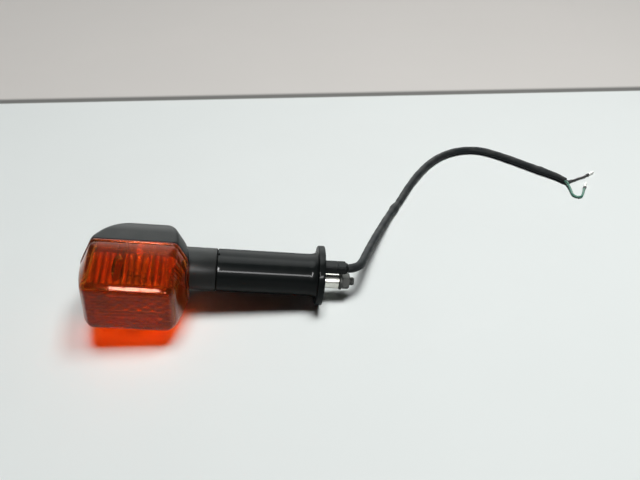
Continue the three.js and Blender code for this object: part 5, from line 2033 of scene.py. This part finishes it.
@dataclass
class LeadExit:
    """The locating block and the grommet that the lead leaves through, in millimetres.

    Attributes:
        rise: Z of the lead's axis.
        width: The block's width.
        corner: Rounding of its two upper corners.
        foot: Its foot's width and its lower chamfers, as shares of half its width.
        block: Start and end of the block.
        grommet: Start and end of the grommet's body.
        mouth: X of the nose's end.
        nose: The nose's radius.
        way: Radius of the lead's way.
        chamfer: The grommet's.
    """

    rise: float = 8.0
    width: float = 7.8
    corner: float = 1.5
    foot: float = 0.5
    block: tuple[float, float] = (0.3, 9.6)
    grommet: tuple[float, float] = (9.9, 14.7)
    mouth: float = 16.3
    nose: float = 3.9
    way: float = 3.3
    chamfer: float = 1.4

    def _outline(self) -> list[tuple[float, float]]:
        """The outline round the lead, with rounded upper and chamfered lower corners.

        Returns:
            Y and Z of the outline's corners.
        """
        half = self.width / 2
        low, reach = self.rise - half, half * self.foot
        points = [(-reach, low), (reach, low), (half, low + reach)]
        middle, high = half - self.corner, self.rise + half - self.corner
        for side, first in ((1, 0.0), (-1, math.pi / 2)):
            for turn in np.linspace(first, first + math.pi / 2, 10):
                points.append((side * middle + self.corner * math.cos(turn),
                               high + self.corner * math.sin(turn)))
        return points + [(-half, low + reach)]

    def _way(self) -> Blank:
        """The lead's way."""
        return plug(self.way, -1, self.mouth + 1, Axis.ALONG, (0, self.rise), 56)

    def build(self, finishes: Finishes) -> None:
        """Makes both blocks and dresses the lead inside them.

        Args:
            finishes: The finishes.
        """
        finish = finishes.block.build()
        mesh = carve(prism(self._outline(), *self.block).mesh("block"),
                     [(Cut.AWAY, self._way())])
        piece = settle("locating_block_moulding", mesh, finish, LAMP.matrix, 30)
        place(piece, Body.LAMP, "moulding_black", "locating_block")
        start, end = self.grommet
        half = self.width / 2
        taper = turned([(POLE, start - 1), (self.width, start - 1),
                        (half * 1.15 + self.chamfer, end - self.chamfer * 1.2), (half * 1.15, end),
                        (POLE, end)], Axis.ALONG, (0, self.rise), 96)
        nose = turned([(POLE, end - 1), (self.nose, end - 1), (self.nose, end + 0.64),
                       (self.nose - 0.12, end + 1.0), (3.6, self.mouth), (POLE, self.mouth)],
                      Axis.ALONG, (0, self.rise), 72)
        mesh = carve(prism(self._outline(), start, end).mesh("grommet"),
                     [(Cut.WITHIN, taper), (Cut.JOIN, nose), (Cut.AWAY, self._way())])
        piece = settle("lead_grommet_moulding", mesh, finish, LAMP.matrix, 26)
        place(piece, Body.LAMP, "moulding_black", "lead_grommet")
        carry("lead_inner", finishes.sheath.build())
        carry("live_wire_inner", finishes.black_wire.build())
        carry("earth_wire_inner", finishes.green_wire.build())


# ---------------------------------------------------------------- free lead


@dataclass
class FreeLead:
    """The lead on the table, with its two wires, in millimetres.

    Attributes:
        mouth: The grommet's mouth in the lamp's frame.
        diameter: The sheath's.
        wire: The wires'.
        spread: Each wire's centre from the lead's.
        lying: Height of a wire's centre on the table.
        bore: Radius of the sheath's open end.
        swells: Place along the lead, width and height of the sheath's swellings.
        route: The lead's route from the mouth: X, Y and the share of the mouth's height left.
        black: The black wire's route from the lead's end.
        green: The green wire's.
    """

    mouth: Point = (16.3, 0.0, 8.0)
    diameter: float = 6.0
    wire: float = 1.9
    spread: float = 1.2
    lying: float = 1.3
    bore: float = 2.0
    swells: tuple[Point, ...] = ((0.335, 0.014, 0.55), (0.362, 0.008, -0.4), (0.925, 0.008, 0.35))
    route: tuple[Point, ...] = (
        (4, 0.7, 0.99), (7.5, 2.7, 0.97), (10, 6, 0.93), (12, 10.5, 0.88), (15.6, 20.5, 0.76),
        (20.3, 33.5, 0.6), (31.5, 61.5, 0.28), (42.5, 85.5, 0.07), (52, 102.5, 0), (61.5, 120, 0),
        (72, 137, 0), (84, 152.5, 0), (96, 163.5, 0), (110, 171, 0), (124, 173.5, 0),
        (135, 171.8, 0), (144.5, 167, 0), (156, 159, 0), (167.5, 150, 0), (178, 141.5, 0),
        (186, 135.4, 0), (192.6, 130, 0), (197.8, 124, 0),
    )
    black: tuple[tuple[float, float], ...] = ((5, 0.6), (8.8, 2.4), (13, 4.4), (17.5, 6.2),
                                              (22, 8.8))
    green: tuple[tuple[float, float], ...] = (
        (1.4, -6), (1.5, -11.5), (1.3, -16.5), (2.06, -18.9), (4.06, -20.45), (6.6, -20.55),
        (8.47, -19.45), (9.8, -17.4), (13.8, -9.8))

    def line(self) -> np.ndarray:
        """The lead's centreline in metres.

        Returns:
            Its points, one row each.
        """
        mouth = LAMP.point(*self.mouth)
        lying = self.diameter / 2 * MM
        points = [mouth + LAMP.direction() * 0.3 * MM]
        for dx, dy, share in self.route:
            points.append(Vector((mouth.x + dx * MM, mouth.y + dy * MM,
                                  lying + (mouth.z - lying) * share)))
        return smooth_route(points, 420)

    def sheath(self, finish: bpy.types.Material, line: np.ndarray) -> bpy.types.Object:
        """Makes the sheath, open at its far end.

        Args:
            finish: Its material.
            line: Its centreline.

        Returns:
            The piece.
        """
        count = len(line)
        run = np.linspace(0, 1, count)
        radii = np.full(count, self.diameter / 2)
        for centre, width, rise in self.swells:
            radii += rise * np.exp(-((run - centre) / width) ** 2)
        radii += np.where(run > 0.47, 0.14, 0.0)
        radii += 0.05 * np.sin(run * 190) + 0.04 * np.sin(run * 77)
        tail = np.clip((run - 0.94) / 0.06, 0, 1)
        radii -= 0.75 * tail
        rings = swept_rings(line, radii * MM, 28)
        bore = swept_rings(line[-16:], np.full(16, self.bore * MM), 28)
        rings = rings[:-1] + [line[-1] + (rings[-1] - line[-1]) * 0.96] + bore[::-1]
        for ring in rings:
            ring[:, 2] = np.maximum(ring[:, 2], 0)
        piece = settle("lead_sheath_tube", loft(rings), finish, None, 60)
        return place(piece, Body.LAMP, "lead_sheath", "lead_sheath")

    def _wire_line(self, line: np.ndarray, side: int, route: tuple) -> np.ndarray:
        """A wire's centreline, from inside the sheath to its terminal.

        Args:
            line: The lead's centreline.
            side: 1 or -1: the side of the lead that it leaves on.
            route: Its route from the lead's end.

        Returns:
            Its points, one row each.
        """
        end = Vector(line[-1])
        heading = Vector(line[-1] - line[-2]).normalized()
        across = Vector((-heading.y, heading.x, 0)) * side * self.spread * MM * 0.75
        inside = Vector(line[-14]) + across
        start = end + heading * 0.3 * MM + across
        straight = start + heading * self.wire * MM
        points = [inside, (inside + start) / 2, start, straight]
        lying = self.lying * MM
        for at, (dx, dy) in enumerate(route):
            height = (lying + start.z) / 2 if at == 0 else lying
            points.append(Vector((end.x + dx * MM, end.y + dy * MM, height)))
        return smooth_route(points, 90)

    def _terminal(self, name: str, line: np.ndarray, finishes: Finishes) -> list[bpy.types.Object]:
        """The sleeve and bullet on a wire's end.

        Args:
            name: The wire's colour.
            line: The wire's centreline.
            finishes: The finishes.

        Returns:
            Both pieces.
        """
        end, heading = Vector(line[-1]), Vector(line[-1] - line[-3]).normalized()
        across = heading.cross(Vector((0, 0, 1))).normalized()
        turn = Matrix((heading, across, heading.cross(across))).transposed()
        to_row = Matrix.Translation(end) @ turn.to_4x4() @ Matrix.Scale(MM, 4)
        sleeve = turned([(POLE, 0.3), (1.15, 0.3), (1.3, 0.5), (1.3, 2.5), (1.15, 2.7),
                         (POLE, 2.7)],
                        Axis.ALONG, segments=32)
        bullet = turned([(POLE, 3.0), (1.0, 3.0), (1.15, 3.2), (1.15, 4.3), (0.98, 4.6),
                         (0.98, 5.0),
                         (1.15, 5.3), (1.15, 7.6), (1.02, 8.4), (0.78, 9.1), (0.4, 9.5), (POLE,
                                                                                          9.5)],
                        Axis.ALONG, segments=32)
        made = []
        for part, blank, finish, slot in (
            ("crimp_sleeve", sleeve, finishes.sleeve, "crimp_sleeve"),
            ("bullet", bullet, finishes.tin, "terminal_tin"),
        ):
            piece = settle(f"{part}_{name}_end", blank, finish.build(), to_row, 34)
            made.append(place(piece, Body.LAMP, slot, f"{part}_{name}"))
        return made

    def build(self, finishes: Finishes) -> None:
        """Args:
            finishes: The finishes.
        """
        line = self.line()
        sheath = self.sheath(finishes.sheath.build(), line)
        for name, side, route, finish in (
            ("black", 1, self.black, finishes.black_wire),
            ("green", -1, self.green, finishes.green_wire),
        ):
            way = self._wire_line(line, side, route)
            tube = loft(swept_rings(way, np.full(len(way), self.wire / 2 * MM), 16))
            piece = settle(f"wire_{name}_insulation", tube, finish.build(), None, 60)
            place(piece, Body.LAMP, f"wire_{name}", f"wire_{name}")
            ends = self._terminal(name, way, finishes)


# ---------------------------------------------------------------- studio


@dataclass(frozen=True)
class Softbox:
    """A lamp with an oblong face, in metres.

    Attributes:
        name: Its name.
        at: Its place.
        aim: What it points at.
        size: Its width and height.
        power: Its power in watts.
        mirrored: Whether it shows in what mirrors it.
        lights: Whether it lights dull surfaces.
    """

    name: str
    at: Point
    aim: Point
    size: tuple[float, float]
    power: float
    mirrored: bool
    lights: bool

    def hang(self) -> None:
        """Puts the lamp in the scene."""
        data = bpy.data.lights.new(self.name, "AREA")
        data.shape = "RECTANGLE"
        data.size, data.size_y = self.size
        data.energy = self.power
        made = linked(self.name, data)
        made.visible_glossy, made.visible_diffuse = self.mirrored, self.lights
        made.location = self.at
        ahead = Vector(self.aim) - Vector(self.at)
        made.rotation_euler = ahead.to_track_quat("-Z", "Y").to_euler()


@dataclass(frozen=True)
class Glow:
    """A bright part of the world.

    Attributes:
        aim: The direction of its middle.
        start: How close to that direction it begins, where 1 is the middle.
        end: How close it is full.
        low: The world's strength away from it.
        high: Its full strength.
    """

    aim: Point
    start: float
    end: float
    low: float
    high: float


@dataclass
class Studio:
    """The floor, which turns to the backdrop's tone, the light and the camera, in metres.

    Attributes:
        eye: The camera's place.
        right: Its right-hand direction.
        back: The direction that it looks away from.
        lens: Its focal length on a 36 mm sensor.
        table: The table's colour.
        edge: The colour of the painted shade line where the table ends.
        wall: The backdrop's colour.
        edge_y: Y of that line.
        fade: Half the depth over which the table's tones run.
        half: Half the floor's width.
        softboxes: The lamps.
        sun: The sun's strength and its apparent size in radians.
        sun_from: Where it shines from.
        glows: The world's bright parts.
        seen: The world's strength as the camera sees it.
        sky: The world's colour.
    """

    eye: Point = (0.05375, -0.3073, 0.3399)
    right: Point = (0.9992, -0.0403, 0.0)
    back: Point = (-0.0299, -0.7425, 0.6691)
    lens: float = 36.56
    table: Color = (0.79, 0.83, 0.815, 1)
    edge: Color = (0.2, 0.2, 0.19, 1)
    wall: Color = (0.66, 0.64, 0.61, 1)
    edge_y: float = 0.289
    fade: float = 0.3
    half: float = 4.0
    softboxes: tuple[Softbox, ...] = (
        Softbox("overhead", (0.34, 0.08, 1.0), (0.15, 0.04, 0), (0.35, 0.25), 4.9, False, True),
        Softbox("window", (0.1, -0.83, 0.68), (0.05, 0, 0.02), (0.54, 0.13), 7.5, True, False),
        Softbox("panel", (-0.12, -0.66, 0.82), (-0.06, 0, 0.05), (0.1, 0.28), 7.5, True, False),
    )
    sun: tuple[float, float] = (1.75, 0.3)
    sun_from: Point = (0.06, 0.05, 1.0)
    glows: tuple[Glow, ...] = (Glow((0.0, 0.8, 0.6), 0.6, 0.96, 0.3, 3.6),
                               Glow((0.0, 0.26, 0.966), 0.9, 0.98, 0.0, 3.6))
    seen: float = 0.62
    sky: Color = (0.97, 1.0, 0.99, 1)

    def camera(self) -> None:
        """Makes the camera."""
        data = bpy.data.cameras.new("camera")
        data.lens = self.lens
        data.sensor_width = 36.0
        data.clip_start, data.clip_end = 0.01, 50.0
        camera = linked("camera", data)
        back = Vector(self.back).normalized()
        right = (Vector(self.right) - back * back.dot(Vector(self.right))).normalized()
        turn = Matrix((right, back.cross(right), back)).transposed()
        camera.matrix_world = Matrix.Translation(Vector(self.eye)) @ turn.to_4x4()
        bpy.context.scene.camera = camera

    def _table(self) -> bpy.types.Material:
        """The pale table, which turns to the backdrop's tone behind the object.

        Returns:
            The material.
        """
        material, wires, shader = shader_of("table_top")
        where = wires.add("ShaderNodeTexCoord").outputs["Object"]
        parts = wires.add("ShaderNodeSeparateXYZ", {0: where})
        reach = wires.add("ShaderNodeMapRange", {
            "Value": parts.outputs["Y"],
            "From Min": self.edge_y - self.fade, "From Max": self.edge_y + self.fade})
        ramp = wires.add("ShaderNodeValToRGB", {0: reach.outputs[0]})
        stops = ramp.color_ramp.elements
        stops[0].position, stops[0].color = 0.0, self.table
        stops[1].position, stops[1].color = 0.5, self.table
        # Painted shade: a dark line where the table meets the backdrop.
        for place, color in ((0.503, self.edge), (0.512, self.edge), (0.52, self.wall)):
            stops.new(place).color = color
        grain = wires.add("ShaderNodeGroup", {
            "Color": ramp.outputs[0], "Grain": 400.0, "Mottle": 9.0, "Shade": 0.035,
            "Roughness": 0.55, "Spread": 0.05}, node_tree=GROUPS.grain)
        wires.feed(shader, {"Base Color": grain.outputs["Color"], "Specular IOR Level": 0.0,
                            "Roughness": grain.outputs["Roughness"]})
        return material

    def stage(self) -> None:
        """Makes the floor."""
        half = self.half
        mesh = bpy.data.meshes.new("floor")
        mesh.from_pydata([(-half, -half, 0), (half, -half, 0), (half, half, 0), (-half, half, 0)],
                         [], [(0, 1, 2, 3)])
        mesh.materials.append(self._table())
        made = linked("floor", mesh)

    def light(self) -> None:
        """Makes the sun, the lamps and the world."""
        sun = linked("sun", bpy.data.lights.new("sun", "SUN"))
        sun.data.energy, sun.data.angle = self.sun
        sun.visible_glossy = False
        sun.rotation_euler = Vector(self.sun_from).to_track_quat("Z", "Y").to_euler()
        for softbox in self.softboxes:
            softbox.hang()
        world = bpy.data.worlds.new("studio")
        bpy.context.scene.world = world
        world.cycles_visibility.diffuse = False
        world.use_nodes = True
        wires = Wiring(world.node_tree)
        where = wires.add("ShaderNodeTexCoord").outputs["Generated"]
        strengths = []
        for glow in self.glows:
            toward = wires.add("ShaderNodeVectorMath", {0: where, 1: glow.aim},
                               operation="DOT_PRODUCT")
            ramp = wires.add("ShaderNodeMapRange", {
                "Value": toward.outputs["Value"], "From Min": glow.start, "From Max": glow.end,
                "To Min": glow.low, "To Max": glow.high}, interpolation_type="SMOOTHSTEP")
            strengths.append(ramp.outputs[0])
        path = wires.add("ShaderNodeLightPath")
        seen = wires.add("ShaderNodeMix", {0: path.outputs["Is Camera Ray"],
                                           2: wires.math("ADD", *strengths), 3: self.seen})
        background = world.node_tree.nodes["Background"]
        wires.feed(background, {"Strength": seen.outputs[0], "Color": self.sky})


def main() -> None:
    """Builds the lamp, piece by piece."""
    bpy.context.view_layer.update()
    scene = bpy.context.scene
    scene.view_settings.view_transform = "Standard"
    studio = Studio()
    studio.camera()
    finishes = Finishes()
    FreeLead().build(finishes)
    zinc = finishes.zinc.build()
    LENS.build(finishes.amber.build())
    housing = Housing()
    housing.build(finishes.housing.build())
    housing.screws(zinc)
    optics = Optics()
    optics.reflector(finishes.mirror.build())
    optics.bulb(finishes)
    optics.socket(finishes, zinc)
    Stalk().build(finishes.stalk.build())
    Hardware().build(finishes, zinc)
    LeadExit().build(finishes)
    studio.stage()
    studio.light()


if __name__ == "__main__":
    main()
